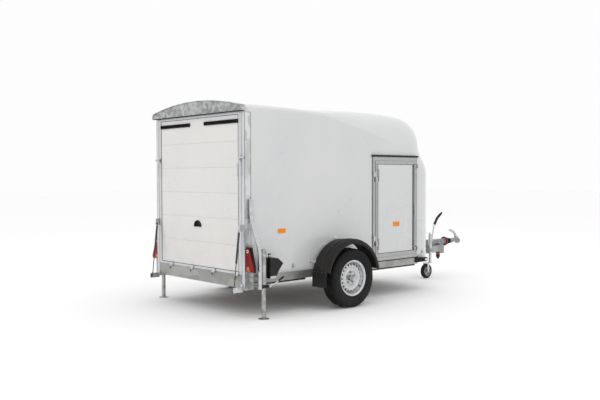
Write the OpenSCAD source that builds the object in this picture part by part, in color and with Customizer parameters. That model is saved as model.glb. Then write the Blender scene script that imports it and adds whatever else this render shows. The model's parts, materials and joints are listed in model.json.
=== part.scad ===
// Single-axle box trailer with a rear ramp, a side door, corner props,
// rubber-torsion axle, overrun coupling and jockey wheel.
// Millimetres. +Y points to the coupling, +X to the right, +Z up.
// The ground is z = 0, and x = 0 is the middle of the trailer.

/* [Body] */
// Outer width of the body
body_w = 1624; // [1500:1:1800]
// Length of the body from the rear face to the middle of the nose
body_len = 3130; // [2900:1:3500]
// Height of the middle of the roof above the ground
crown_z = 2212; // [2100:1:2500]
// Thickness of the moulded wall
wall_t = 20; // [12:1:26]
// Height of the chassis top above the ground
deck_z = 424; // [410:1:450]
// Thickness of the floor board
floor_t = 16; // [9:1:20]
// How far the roof falls from its middle to the wall
roof_fall = 90; // [40:1:140]
// Radius of the nose corners, seen from above
nose_r = 350; // [250:1:450]
// How far the upper nose stands back from the lower nose
nose_setback = 100; // [0:1:160]

/* [Chassis] */
// Height of the side rails
rail_h = 84; // [60:1:84]
// Width of the side rails
rail_w = 40; // [30:1:45]
// Width of the drawbar arms
arm_w = 46; // [36:1:56]

/* [Wheels] */
// Distance of the wheel axis from the rear face
axle_y = 1273; // [1200:1:1400]
// Outer diameter of the tyre
tyre_d = 640; // [600:1:660]
// Width of the tyre
tyre_w = 185; // [165:1:190]
// Distance of the tyre's middle plane from the trailer's middle
wheel_x = 1002; // [990:1:1015]
// Inner radius of the mudguard about the wheel axis
guard_r = 410; // [395:1:430]

/* [Ramp] */
// Thickness of the ramp panel
ramp_t = 30; // [20:1:34]
// Width of the aluminium edge profile
edge_w = 52; // [40:1:60]

/* [Side door] */
// Rear edge of the door leaf
door_y = 1915; // [1900:1:1940]
// Length of the door leaf
door_len = 715; // [600:1:720]
// Lower edge of the door leaf
door_z = 474; // [465:1:500]
// Height of the door leaf
door_h = 1126; // [900:1:1140]
// Thickness of the door leaf
door_t = 28; // [20:1:34]

/* [Props] */
// Outer radius of the prop sleeve
sleeve_r = 26; // [24:1:28]
// Wall of the prop sleeve
sleeve_wall = 3; // [2:0.5:4]
// Radius of the prop foot
foot_r = 55; // [40:1:70]

/* [Hitch] */
// Height of the overrun shaft
shaft_z = 470; // [465:1:480]
// Radius of the overrun shaft
shaft_r = 25; // [20:0.5:28]
// Radius of the coupling's ball socket
ball_r = 25.2; // [25.1:0.1:25.5]
// Radius of the jockey wheel
jockey_r = 100; // [90:1:110]

/* [Hidden] */

$fn = 48;
air = 0.3;       // gap between pieces that move past each other
run_fit = 0.05;  // radial gap of a shaft in its bore
rear_over = 118; // how far the strut bracket stands behind the rear face
ball_y = 4640;
head_r = 43;
rear_y = (rear_over - ball_y - head_r) / 2; // the rear face, in the part's own frame

half_w = body_w / 2;
rail_z = deck_z - rail_h;
floor_top = deck_z + floor_t;

// Rear frame
post_t = 3;
post_web = 42;
post_side = 75;
post_low = 287;
ramp_low = deck_z + 13;
ramp_high = crown_z - 146;
ramp_half = half_w - post_web - 5;
beam_d = 60;
beam_low = 305;
hinge_y = -12;
hinge_z = ramp_low - 10;
knuckle_r = 8;
knuckle_l = 60;
knuckle_x = [-600, -200, 200, 600];

// Gas struts: the lower pivot is on the frame, the upper one on the ramp
strut_x = half_w - 48;
strut_low = [strut_x, -100, 290];
strut_high = [strut_x, -32, 880];
strut_len = norm(strut_high - strut_low);
strut_tilt = atan2(strut_high[1] - strut_low[1], strut_high[2] - strut_low[2]);
strut_r = 11;
strut_rod_r = 5;
strut_body = 325;
strut_in = 38; // length of rod inside the cylinder when extended
latch_z = 1600;
latch_x = ramp_half - 22;
latch_y = -14;
pull_z = 886;
pull_r = 66;

// Axle
axle_z = tyre_d / 2;
pivot_y = axle_y + 150;
pivot_z = rail_z - 50;
beam_half = 40;
tube_wall = 5;
stub_r = 20;
hub_face_x = wheel_x + 30;
pcd_r = 56;
bolt_n = 5;
seat_r = 177.5;
flange_r = 195;
rim_half = 80;
guard_x = wheel_x + 98;
guard_in = guard_x - 230; // inner edge of the mudguard
strap_arc = 5; // angle that a strap of the mudguard takes up
guard_front = 10; // angle of the mudguard's front edge above the wheel axis
guard_arc = 157;
flap_z = 250;

// Lamps, guards and props
lamp_y = 8;
lamp_t = 28;
lamp_x = half_w + 8;
lamp_z = 474;
lamp_h = 238;
prop_x = half_w + 114;
prop_y = 148;
guard_tube_r = 21;
guard_low_y = prop_y - sleeve_r - guard_tube_r - air;
leg_r = sleeve_r - sleeve_wall - 1;
sleeve_low = 345;
sleeve_high = 690;
lever_x = prop_x + sleeve_r + 14;
lever_y = prop_y + 46;
lever_z = 328;
chock_z = 400;

// Side door
door_x = half_w + 13; // outer face of the leaf
leaf_edge = 40;
jamb = 40;
door_gap = 5;
hinge_x = door_x + 8;
hinge_door_y = door_y - 3;
bar_r = 7;
bar_y = door_y + door_len - 18;
bar_x = door_x + bar_r + 4;

// Hitch
house_rear = 3880;
house_front = 4310;
collar_y = 4440;
ball_z = shaft_z - 8;
handle_z = ball_z + 48;
brake_x = 66;
lever_r = 12;
brake_y = 3945;
brake_z = shaft_z + 44;
arm_x = 50;
arm_front = 4180;
arm_rear = 1620;
arm_bend = 3900;
rod_x = 22;
rod_z = rail_z - 12;
rod_r = 6;
jockey_x = 150;
jockey_y = 3800;
jockey_trail = 85;
jockey_tube_r = 24;
jockey_low = 355;
jockey_high = 605;
jockey_leg_r = jockey_tube_r - 3 - air;
jockey_w = 54;

// ---------- shared shapes ----------

// Puts a piece that is drawn from the rear face into the part's own frame
module place() { translate([0, rear_y, 0]) children(); }

module both() {
    children();
    mirror([1, 0, 0]) children();
}

// side = 1 is the right, side = -1 the left
module on_side(side) {
    if (side > 0) children();
    else mirror([1, 0, 0]) children();
}

module block(a, b) { translate(a) cube(b - a); }

module rod(a, b, r) {
    d = b - a;
    translate(a) rotate([0, acos(d[2] / norm(d)), atan2(d[1], d[0])]) cylinder(h = norm(d), r = r);
}

module x_cyl(x0, x1, y, z, r) { translate([x0, y, z]) rotate([0, 90, 0]) cylinder(h = x1 - x0, r = r); }

module y_cyl(x, y0, y1, z, r) { translate([x, y0, z]) rotate([-90, 0, 0]) cylinder(h = y1 - y0, r = r); }

module z_cyl(x, y, z0, z1, r) { translate([x, y, z0]) cylinder(h = z1 - z0, r = r); }

// A bent tube along points, with a ball at each bend
module pipe(points, r) {
    for (i = [0 : len(points) - 2]) rod(points[i], points[i + 1], r);
    for (i = [1 : 1 : len(points) - 2]) translate(points[i]) sphere(r = r + 0.3);
}

// Turns a profile of [radius, x] about the wheel axis
module wheel_turn(points) { rotate([0, 90, 0]) rotate_extrude($fn = 96) polygon(points); }

module at_wheel() { translate([0, axle_y, axle_z]) children(); }

function smooth(t) = let(k = max(0, min(1, t))) k * k * (3 - 2 * k);
function mix(a, b, t) = a * (1 - t) + b * t;

// ---------- moulded body ----------

side_n = 12;  // columns along the side
corner_n = 6; // columns round the nose corner
front_n = 3;  // columns across half the front
cols = side_n + corner_n + front_n;
nose_bow = 40;
chin_low = 1460;
chin_high = 1790;
shell_rear = post_t + 2;

// Plan outline of column i: straight side, nose corner, then the bowed front
function outline(i, inset, set) =
    let(w = half_w - inset, r = nose_r + set - inset, front = body_len - nose_bow - inset - set)
    i <= side_n ? [w, mix(shell_rear, front - r, i / side_n)]
    : i <= side_n + corner_n
        ? let(a = 90 * (i - side_n) / corner_n) [w - r + r * cos(a), front - r + r * sin(a)]
        : let(x = (w - r) * (cols - i) / front_n)
            [x, front + nose_bow * (1 - pow(x / (w - r), 2))];

// Point of the roof's ridge that column i runs up to
function ridge(i, inset) =
    let(start = outline(side_n, inset, nose_setback)[1])
    i <= side_n ? [0, outline(i, inset, nose_setback)[1]] : [0, start + 2.5 * (i - side_n)];

// Height of the roof: arched across, with a shallow dip behind the front half
function roof(p, inset) =
    crown_z - inset - roof_fall * pow(p[0] / half_w, 2)
    - 16 * exp(-pow((p[1] - 1150) / 380, 2)) - 40 * smooth((p[1] - 2200) / 1000);

// Shoulder: where it starts on the wall, how deep it reaches into the roof and its crease
function shoulder_z(y) = max(1795, min(crown_z - roof_fall - 55, crown_z - 82 - 0.235 * (y - 900)));
function shoulder_w(y) = mix(60, 390, smooth((y - 850) / 1500));
function crease(y) = 0.30 * smooth((y - 900) / 350) * (1 - 0.75 * smooth((y - 1900) / 600));

wall_rows = 7;
bend_rows = 5;
roof_rows = 4;
rows = wall_rows + bend_rows + roof_rows;

// Lowest edge of the shell: on the deck at the side, lower round the nose
function skirt(i) = mix(deck_z, deck_z - 50, smooth((i - side_n) / 2));

function column(i, j, inset) =
    let(
        low = outline(i, inset, 0),
        top = outline(i, inset, nose_setback),
        spine = ridge(i, inset),
        inward = (spine - top) / norm(spine - top),
        y = top[1],
        start = shoulder_z(y) - 0.4 * inset,
        depth = shoulder_w(y) - 0.3 * inset,
        heights = [skirt(i), 900, chin_low, chin_low + 110, chin_low + 220, chin_high, start]
    )
    j < wall_rows
        ? let(z = heights[j], p = low + (top - low) * smooth((z - chin_low) / (chin_high - chin_low)))
            [p[0], p[1], z]
    : j < wall_rows + bend_rows
        ? let(
            t = (j - wall_rows + 1) / bend_rows,
            knee = top + inward * depth * crease(y),
            edge = top + inward * depth,
            a = [top[0], top[1], start],
            b = [knee[0], knee[1], roof(knee, inset)],
            c = [edge[0], edge[1], roof(edge, inset)]
        ) a * pow(1 - t, 2) + b * 2 * t * (1 - t) + c * t * t
    : let(
        t = (j - wall_rows - bend_rows + 1) / roof_rows,
        edge = top + inward * depth,
        p = edge + (spine - edge) * t
    ) [p[0], p[1], roof(p, inset)];

// One skin as a list of points: right wall, roof, left wall, column by column
function skin(inset) = [
    for (i = [0 : cols], j = [0 : 2 * rows - 2])
        j < rows ? column(i, j, inset)
        : let(p = column(i, 2 * rows - 2 - j, inset)) [-p[0], p[1], p[2]]
];

across = 2 * rows - 1;
skin_n = (cols + 1) * across;
// The last column is its own mirror image, so its left half uses the right half's points
function at(i, j) = i * across + (i == cols && j >= rows ? across - 1 - j : j);
function quad(a, b, c, d) = [[a, b, c], [a, c, d]];

module body_shell() {
    outer = [for (i = [0 : cols - 1], j = [0 : across - 2], f = quad(at(i, j), at(i, j + 1),
        at(i + 1, j + 1), at(i + 1, j))) f];
    inner = [for (f = outer) [f[2] + skin_n, f[1] + skin_n, f[0] + skin_n]];
    rear = [for (j = [0 : across - 2], f = quad(at(0, j + 1), at(0, j), at(0, j) + skin_n,
        at(0, j + 1) + skin_n)) f];
    low_right = [for (i = [0 : cols - 1], f = quad(at(i, 0), at(i + 1, 0), at(i + 1, 0) + skin_n,
        at(i, 0) + skin_n)) f];
    low_left = [for (i = [0 : cols - 1], f = quad(at(i + 1, across - 1), at(i, across - 1),
        at(i, across - 1) + skin_n, at(i + 1, across - 1) + skin_n)) f];
    color("white") place() difference() {
        polyhedron(concat(skin(0), skin(wall_t)), concat(outer, inner, rear, low_right, low_left));
        block([half_w - 100, door_y - door_gap, door_z - door_gap],
            [half_w + 50, door_y + door_len + door_gap, door_z + door_h + door_gap]);
        // Notches in the nose skirt for the drawbar arms
        translate([0, 0, rail_z - 2]) linear_extrude(rail_h + 2 - air / 2) arm_plan(2);
    }
}

module floor_board() {
    in_w = half_w - wall_t - air;
    r = nose_r - wall_t;
    front = body_len - nose_bow - wall_t - 1;
    corner = [for (a = [0 : 15 : 90]) [in_w - r + r * cos(a), front - r + r * sin(a)]];
    mirrored = [for (i = [len(corner) - 1 : -1 : 0]) [-corner[i][0], corner[i][1]]];
    color("saddlebrown") place() translate([0, 0, deck_z]) linear_extrude(floor_t)
        polygon(concat([[in_w, beam_d + 2]], corner, mirrored, [[-in_w, beam_d + 2]]));
}

// ---------- chassis ----------

rail_end = body_len - nose_bow - nose_r - 45;
cross_y = [beam_d + 1, 700, 1620, 2150, rail_end - 60];

module arm_plan(grow) {
    inner_rear = half_w - rail_w - arm_w - 40;
    both() polygon([
        [inner_rear - grow, arm_rear - grow], [inner_rear + arm_w + grow, arm_rear - grow],
        [arm_x + arm_w + grow, arm_bend], [arm_x + arm_w + grow, arm_front + grow],
        [arm_x - grow, arm_front + grow], [arm_x - grow, arm_bend]]);
}

module chassis_frame() {
    color("silver") place() {
        both() difference() {
            block([half_w - rail_w, beam_d, rail_z], [half_w, rail_end, deck_z]);
            block([half_w - rail_w - 1, beam_d - 1, rail_z + 4],
                [half_w - 4, rail_end + 1, deck_z - 4]);
        }
        difference() {
            for (y = cross_y) difference() {
                block([-half_w + rail_w + air, y, rail_z], [half_w - rail_w - air, y + 60, deck_z]);
                block([-half_w + rail_w + 6, y + 4, rail_z - 1], [half_w - rail_w - 6, y + 56, deck_z - 4]);
            }
            translate([0, 0, rail_z - 2]) linear_extrude(rail_h + 4) arm_plan(air);
        }
    }
}

module drawbar() {
    color("silver") place() {
        translate([0, 0, rail_z]) linear_extrude(rail_h - air) arm_plan(0);
        // Front tie between the arms
        block([-arm_x, arm_front - 70, rail_z], [arm_x, arm_front, rail_z + 20]);
        // Guide for the brake rod
        difference() {
            block([rod_x - 14, arm_front - 60, rod_z - 14], [rod_x + 14, arm_front - 54, rail_z]);
            y_cyl(rod_x, arm_front - 61, arm_front - 53, rod_z, rod_r + air);
        }
    }
}

module threshold_beam() {
    color("silver") place() {
        difference() {
            block([-half_w + post_web + 5, 0, beam_low], [half_w - post_web - 5, beam_d, ramp_low - 2]);
            block([-half_w, 4, beam_low + 4], [half_w, beam_d + 1, ramp_low - 6]);
        }
        // Lower hinge knuckles
        for (x = knuckle_x) {
            difference() {
                union() {
                    x_cyl(x, x + knuckle_l, hinge_y, hinge_z, knuckle_r);
                    block([x, hinge_y, hinge_z - 40], [x + knuckle_l, 0, hinge_z]);
                }
                x_cyl(x - 1, x + knuckle_l + 1, hinge_y, hinge_z, 4);
            }
            x_cyl(x + knuckle_l / 2, x + 2 * knuckle_l, hinge_y, hinge_z, 4 - run_fit);
            x_cyl(x + 2, x + knuckle_l / 2, hinge_y, hinge_z, 4);
        }
    }
}

module rear_posts() {
    w = half_w;
    color("silver") place() both() difference() {
        translate([0, 0, post_low]) linear_extrude(ramp_high - post_low + 3) polygon([
            [w + post_t, 0], [w + post_t, post_side], [w, post_side], [w, post_t],
            [w - post_web + post_t, post_t], [w - post_web + post_t, 45],
            [w - post_web, 45], [w - post_web, 0]]);
    }
}

// Roof header: a closed sheet-metal box under an arch
hood_low = ramp_high + 5;
hood_half = half_w + 16;
hood_d = 55;
function hood_top(x) = crown_z + 6 - roof_fall * pow(x / half_w, 2);
module hood_face(inset) {
    r = 34;
    end = hood_half - inset;
    top = [for (x = [-end + r : (end - r) / 12 : end - r + 0.01]) [x, hood_top(x) - inset]];
    right_z = hood_top(end - r) - inset - r;
    corner = [for (a = [75 : -15 : 0]) [end - r + r * cos(a), right_z + r * sin(a)]];
    left = [for (a = [180 : -15 : 105]) [-end + r + r * cos(a), right_z + r * sin(a)]];
    polygon(concat(left, top, corner, [[end, hood_low + inset], [-end, hood_low + inset]]));
}

module rear_hood() {
    color("gainsboro") place() difference() {
        translate([0, shell_rear, 0]) rotate([90, 0, 0]) linear_extrude(hood_d) hood_face(0);
        translate([0, shell_rear - post_t, 0]) rotate([90, 0, 0])
            linear_extrude(hood_d - 2 * post_t) hood_face(post_t);
    }
}

// ---------- axle and wheels ----------

module axle_beam() {
    x1 = half_w;
    color("silver") place() {
        difference() {
            block([-x1, pivot_y - beam_half, pivot_z - beam_half],
                [x1, pivot_y + beam_half, pivot_z + beam_half]);
            block([-x1 - 1, pivot_y - beam_half + tube_wall, pivot_z - beam_half + tube_wall],
                [x1 + 1, pivot_y + beam_half - tube_wall, pivot_z + beam_half - tube_wall]);
        }
        // Mounting pads under the rails
        both() block([x1 - rail_w, pivot_y - 75, pivot_z + beam_half], [x1, pivot_y + 75, rail_z]);
    }
}

// Trailing arm with its torsion bar in the axle tube, brake plate and stub axle
module swing_arm(side) {
    x0 = half_w + air;
    color("dimgray") place() on_side(side) {
        x_cyl(half_w - 260, x0 + 10, pivot_y, pivot_z, 24);
        x_cyl(x0, x0 + 30, pivot_y, pivot_z, 44);
        x_cyl(x0, x0 + 30, axle_y, axle_z, 38);
        reach = [pivot_y - axle_y, axle_z - pivot_z];
        translate([x0, axle_y, axle_z]) rotate([-atan2(reach[1], reach[0]), 0, 0])
            translate([3, 0, -30]) cube([24, norm(reach), 60]);
        x_cyl(x0 + 20, hub_face_x + 8, axle_y, axle_z, stub_r);
        x_cyl(x0 + 34, x0 + 38, axle_y, axle_z, 112);
        x_cyl(x0 + 20, x0 + 42, axle_y, axle_z, 32);
    }
}

module hub(side) {
    f = hub_face_x;
    drum = half_w + 46;
    bore = stub_r + run_fit;
    color("darkgray") place() on_side(side) at_wheel() difference() {
        union() {
            wheel_turn([[bore, drum + 4], [125, drum + 4], [125, drum + 66], [117, drum + 66],
                [112, drum + 74], [50, drum + 74], [50, f - 14], [76, f - 12], [76, f], [32, f],
                [32, f + 24], [26, f + 31], [0, f + 31], [0, f + 12], [bore, f + 12]]);
            for (k = [0 : bolt_n - 1]) rotate([k * 360 / bolt_n, 0, 0]) translate([0, 0, pcd_r]) {
                x_cyl(f - 1, f + 8, 0, 0, 6);
                translate([f + 5 + air, 0, 0]) rotate([0, 90, 0]) cylinder(h = 14, r = 11, $fn = 6);
            }
        }
        wheel_turn([[52, drum - 1], [117, drum - 1], [117, drum + 58], [52, drum + 58]]);
    }
}

// Rim profile, as [radius, distance from the wheel's middle plane]
rim_skin = [[flange_r, -rim_half], [flange_r, -rim_half + 5], [seat_r + 5, -rim_half + 8],
    [seat_r, -rim_half + 12], [seat_r - 2, -40], [158, -28], [158, 20], [seat_r - 2, 38],
    [seat_r, rim_half - 12], [seat_r + 5, rim_half - 8], [flange_r, rim_half - 5], [flange_r, rim_half]];
rim_inside = [[flange_r - 4, rim_half], [seat_r, rim_half - 4], [seat_r - 5, rim_half - 11],
    [seat_r - 6, 40], [154, 23], [154, -31], [seat_r - 6, -42], [seat_r - 5, -rim_half + 11],
    [seat_r, -rim_half + 4], [flange_r - 4, -rim_half]];

module rim(side) {
    color("silver") place() on_side(side) at_wheel() translate([wheel_x, 0, 0]) difference() {
        union() {
            wheel_turn(concat(rim_skin, rim_inside));
            wheel_turn([[33, 30], [78, 30], [92, 38], [111, 47], [128, 44], [145, 28], [156, 12],
                [156, 20], [147, 36], [129, 50], [110, 52], [90, 43], [76, 35], [33, 35]]);
        }
        for (k = [0 : 19]) rotate([k * 18, 0, 0]) x_cyl(10, 70, 0, 139, 7);
        for (k = [0 : bolt_n - 1]) rotate([k * 360 / bolt_n, 0, 0]) x_cyl(20, 50, 0, pcd_r, 7);
    }
}

module tyre(side) {
    r = tyre_d / 2;
    h = tyre_w / 2;
    bead = seat_r + air;
    color("#202020") place() on_side(side) at_wheel() translate([wheel_x, 0, 0])
        rotate([0, 90, 0]) rotate_extrude($fn = 96) difference() {
            polygon([[bead, -66], [bead + 22, -74], [bead + 42, -h + 4], [(bead + r) / 2, -h],
                [r - 34, -h + 4], [r - 10, -h + 14], [r, -h + 32], [r, h - 32], [r - 10, h - 14],
                [r - 34, h - 4], [(bead + r) / 2, h], [bead + 42, h - 4], [bead + 22, 74],
                [bead, 66], [bead, 52], [bead + 26, 60], [r - 40, h - 18], [r - 16, h - 36],
                [r - 16, -h + 36], [r - 40, -h + 18], [bead + 26, -60], [bead, -52]]);
            for (x = [-34, 0, 34]) translate([r - 8, x - 4]) square([9, 8]);
        }
}

// Mudguards, each with its rubber flap behind the wheel
module mudguards() {
    r = guard_r;
    color("#1c1c1c") place() both() {
        at_wheel() rotate([0, 90, 0]) rotate([0, 0, 90 + guard_front]) rotate_extrude(angle = guard_arc)
            polygon([[r - 6, guard_in], [r + 5, guard_in], [r + 5, guard_x], [r - 26, guard_x],
                [r - 32, guard_x - 4], [r - 26, guard_x - 4], [r, guard_x - 4], [r, guard_in + 4],
                [r - 6, guard_in + 4]]);
        // Straps that carry it on the wall
        for (a = [12, guard_arc / 2, guard_arc - strap_arc - 12])
            at_wheel() rotate([0, 90, 0]) rotate([0, 0, 90 + guard_front + a])
                rotate_extrude(angle = strap_arc)
                    polygon([[r + 1, half_w], [r + 26, half_w], [r + 26, half_w + 3], [r + 4, half_w + 3],
                        [r + 4, guard_in + 2], [r + 1, guard_in + 2]]);
        // Rubber flap hung on the rear edge
        edge_y = axle_y + (r + 5) * cos(guard_front + guard_arc);
        block([guard_in + 6, edge_y - 5, flap_z], [guard_x - 8, edge_y, flap_z + 170]);
    }
}

// ---------- lamps, guards and props ----------

module lamp_guards() {
    x_wall = half_w + post_t + guard_tube_r;
    y_wall = 60;
    y_low = guard_low_y;
    color("gainsboro") place() both() difference() {
        pipe([[x_wall, y_wall, 1193], [x_wall, y_wall, 1029], [prop_x, y_low, 681],
            [prop_x, y_low, 300]], guard_tube_r);
        z_cyl(x_wall, y_wall, 1100, 1194, guard_tube_r - 3);
        z_cyl(prop_x, y_low, 299, 420, guard_tube_r - 3);
    }
}

// Outline of the tail lamp, seen from behind; inset shrinks it
module lamp_outline(inset) {
    polygon([[lamp_x + inset, lamp_z + inset], [lamp_x + 124 - inset, lamp_z + inset],
        [lamp_x + 124 - inset, lamp_z + 40], [lamp_x + 46 - inset / 2, lamp_z + lamp_h - inset],
        [lamp_x + inset, lamp_z + lamp_h - inset]]);
}

module lamp_slab(y0, y1, inset) {
    translate([0, y1, 0]) rotate([90, 0, 0]) linear_extrude(y1 - y0) lamp_outline(inset);
}

module lamp_housings() {
    color("#181818") place() both() difference() {
        lamp_slab(lamp_y + 8, lamp_y + lamp_t, 0);
        lamp_slab(lamp_y + 4, lamp_y + lamp_t - 4, 5);
    }
}

// Red, amber and clear windows, as three separate solids on each lamp
module lamp_lenses() {
    split_low = lamp_z + 60;
    split_high = lamp_z + lamp_h - 62;
    color("red") place() both() {
        intersection() {
            lamp_slab(lamp_y, lamp_y + 8, 2);
            block([half_w, 0, split_low + 1], [half_w + 300, 200, split_high - 1]);
        }
        intersection() {
            lamp_slab(lamp_y, lamp_y + 8, 2);
            block([half_w, 0, lamp_z], [half_w + 300, 200, split_low]);
        }
        intersection() {
            lamp_slab(lamp_y, lamp_y + 8, 2);
            block([half_w, 0, split_high], [half_w + 300, 200, lamp_z + lamp_h]);
        }
    }
}

module marker_lamps() {
    y = rail_end;
    color("#1a1a1a") place() both() {
        block([half_w, y - 40, rail_z + 16], [half_w + 20, y + 24, deck_z - 2]);
        rod([half_w + 16, y, rail_z + 50], [half_w + 50, y + 105, rail_z + 50], 15);
        translate([half_w + 50, y + 105, rail_z + 50]) sphere(r = 15.4);
    }
}

// Prop sleeves with the plates that hold them and the tail lamps
module prop_sleeves() {
    back = lamp_y + lamp_t;
    color("gainsboro") place() both() {
        block([half_w + post_t, back, 300], [prop_x - sleeve_r - air, back + 3, 740]);
        block([half_w + post_t, lamp_y - 8, 330], [half_w + post_t + 4, prop_y + 40, 420]);
        difference() {
            z_cyl(prop_x, prop_y, sleeve_low, sleeve_high, sleeve_r);
            z_cyl(prop_x, prop_y, sleeve_low - 1, sleeve_high - 3, sleeve_r - sleeve_wall);
        }
        // Domed cap
        intersection() {
            translate([prop_x, prop_y, sleeve_high - 30]) sphere(r = 42);
            z_cyl(prop_x, prop_y, sleeve_high - 1, sleeve_high + 30, sleeve_r);
        }
        // Ears that weld the sleeve to the side plate
        for (z = [350, 408]) difference() {
            block([half_w + post_t + 4, prop_y - 22, z], [prop_x, prop_y + 22, z + 8]);
            z_cyl(prop_x, prop_y, z - 1, z + 9, sleeve_r - 1);
        }
    }
}

module prop_clamps() {
    color("#1a1a1a") place() both() difference() {
        union() {
            z_cyl(prop_x, prop_y, sleeve_low - 35, sleeve_low - 1 + air, sleeve_r + 6);
            block([prop_x, prop_y + 8, sleeve_low - 35], [lever_x - 8, lever_y + 14, sleeve_low - 5]);
            block([prop_x - 10, prop_y, sleeve_low - 35], [prop_x + 20, lever_y + 14, sleeve_low - 5]);
        }
        z_cyl(prop_x, prop_y, sleeve_low - 40, sleeve_low + 5, leg_r + run_fit);
        z_cyl(prop_x, guard_low_y, sleeve_low - 40, sleeve_low + 5, guard_tube_r + air);
    }
}

module prop_leg(side) {
    color("gainsboro") place() on_side(side) {
        z_cyl(prop_x, prop_y, 4, sleeve_low + 90, leg_r);
        z_cyl(prop_x, prop_y, 0, 6, foot_r);
    }
}

module prop_lever(side) {
    tip = [lever_x + 12, lever_y + 175, lever_z + 84];
    knee = [lever_x + 4, lever_y + 110, lever_z + 44];
    start = [lever_x, lever_y, lever_z];
    color("gainsboro") place() on_side(side) {
        x_cyl(lever_x - 8 + air, lever_x + 8, lever_y, lever_z, 13);
        rod(start, knee, 6);
        rod(knee, tip, 10);
        translate(tip) sphere(r = 10.4);
    }
}

module wheel_chock() {
    x0 = half_w + 14;
    color("#141414") place() translate([x0, 0, 0]) rotate([90, 0, 90]) linear_extrude(110) difference() {
        polygon([[228, chock_z + air], [300, chock_z + air], [338, 470], [398, 540], [330, 596], [228, 600]]);
        translate([470, 450]) circle(r = 110);
    }
}

module chock_holder() {
    x0 = half_w;
    color("silver") place() {
        block([x0, 224, chock_z - 4], [x0 + 4, 300, 612]);
        block([x0 + 4, 224, chock_z - 4], [x0 + 130, 300, chock_z]);
        block([x0 + 126, 224, chock_z], [x0 + 130, 300, chock_z + 20]);
        // Strap and retaining knob above the chock
        block([x0 + 4, 250, 601], [x0 + 80, 280, 605]);
        z_cyl(x0 + 64, 265, 605, 640, 14);
    }
}

// ---------- side door ----------

module door_surround() {
    y0 = door_y - door_gap + air;
    y1 = door_y + door_len + door_gap - air;
    z0 = door_z - door_gap + air;
    z1 = door_z + door_h + door_gap - air;
    color("lightgray") place() difference() {
        union() {
            block([half_w, y0 - jamb, z0 - jamb], [half_w + 10, y1 + jamb, z1 + jamb]);
            block([half_w - wall_t, y0, z0], [half_w, y1, z1]);
        }
        block([half_w - 60, door_y - 2, door_z - 2],
            [half_w + 60, door_y + door_len + 2, door_z + door_h + 2]);
    }
}

module door_gutter() {
    z = door_z + door_h + door_gap + jamb;
    color("#151515") place() block([half_w, door_y - door_gap - jamb - 12, z],
        [half_w + 26, door_y + door_len + door_gap + jamb + 6, z + 22]);
}

module door_edge() {
    e = leaf_edge;
    color("lightgray") place() difference() {
        block([door_x - door_t, door_y, door_z], [door_x, door_y + door_len, door_z + door_h]);
        block([door_x - door_t - 1, door_y + e, door_z + e],
            [door_x + 1, door_y + door_len - e, door_z + door_h - e]);
    }
}

module door_panel() {
    e = leaf_edge;
    color("white") place() block([door_x - door_t + 3, door_y + e, door_z + e],
        [door_x - 3, door_y + door_len - e, door_z + door_h - e]);
}

hinge_pair = [door_z + 190, door_z + door_h - 190];
// Hinge halves on the leaf and the guides of the lock bar
module door_fittings() {
    color("lightgray") place() for (z = hinge_pair) {
        z_cyl(hinge_x, hinge_door_y, z - 60, z - 1, 7);
        block([door_x, hinge_door_y + 3, z - 60], [door_x + 5, door_y + 34, z - 1]);
        block([door_x + 1, hinge_door_y, z - 60], [hinge_x, hinge_door_y + 4, z - 1]);
    }
    color("lightgray") place() for (z = [door_z + 120, door_z + door_h - 150]) difference() {
        block([door_x, bar_y - 14, z], [bar_x + bar_r + 4, bar_y + 14, z + 30]);
        z_cyl(bar_x, bar_y, z - 1, z + 31, bar_r + run_fit);
    }
}

module door_lock_bar() {
    z0 = door_z + 36;
    z1 = door_z + door_h - 36;
    color("lightgray") place() {
        z_cyl(bar_x, bar_y, z0, z1, bar_r);
        for (z = [z0 + 10, z1 - 40]) block([bar_x - 4, bar_y, z], [bar_x + 4, bar_y + 34, z + 30]);
        block([bar_x - 3, bar_y, z0 + 430], [bar_x + 3, bar_y + 26, z0 + 560]);
    }
}

// Fixed brackets: strut pivots, latch keepers, door hinge halves and lock keepers
module rear_brackets() {
    plate_x = strut_x + 12;
    color("lightgray") place() {
        both() {
            block([plate_x, -rear_over, 268], [plate_x + 6, 0, 322]);
            block([plate_x - 22, -10, 306], [plate_x + 6, 0, 350]);
            x_cyl(strut_x - 8, plate_x, strut_low[1], strut_low[2], 6);
            x_cyl(strut_x - 11, strut_x - 8, strut_low[1], strut_low[2], 9);
            // Latch keeper on the post
            y_cyl(half_w - 12, -20, 0, latch_z, 6);
        }
        for (z = hinge_pair) {
            z_cyl(hinge_x, hinge_door_y, z, z + 58, 7);
            z_cyl(hinge_x, hinge_door_y, z - 1, z, 4);
            block([half_w + 10, hinge_door_y - 36, z], [hinge_x, hinge_door_y, z + 58]);
        }
        for (z = [door_z + 46, door_z + door_h - 76]) difference() {
            block([half_w + 10, bar_y + 27, z - 8], [bar_x + 12, bar_y + 46, z + 38]);
            block([half_w + 14, bar_y + 26, z - 4], [bar_x + 8, bar_y + 40, z + 34]);
            block([bar_x - 6, bar_y + 20, z - 4], [bar_x + 20, bar_y + 40, z + 34]);
        }
    }
}

// ---------- ramp ----------

module ramp_frame() {
    color("lightgray") place() difference() {
        block([-ramp_half, 0, ramp_low], [ramp_half, ramp_t + 6, ramp_high]);
        block([-ramp_half + edge_w, -1, ramp_low + 28], [ramp_half - edge_w, ramp_t + 7, ramp_high - 28]);
    }
}

module ramp_panel() {
    color("white") place() difference() {
        block([-ramp_half + edge_w, 2, ramp_low + 28],
            [ramp_half - edge_w, 2 + ramp_t, ramp_high - 28]);
        intersection() {
            y_cyl(0, 1, 21 + air, pull_z, pull_r + air);
            block([-pull_r - 1, 0, pull_z - 2 - air], [pull_r + 1, 30, pull_z + pull_r + 1]);
        }
    }
}

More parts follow.
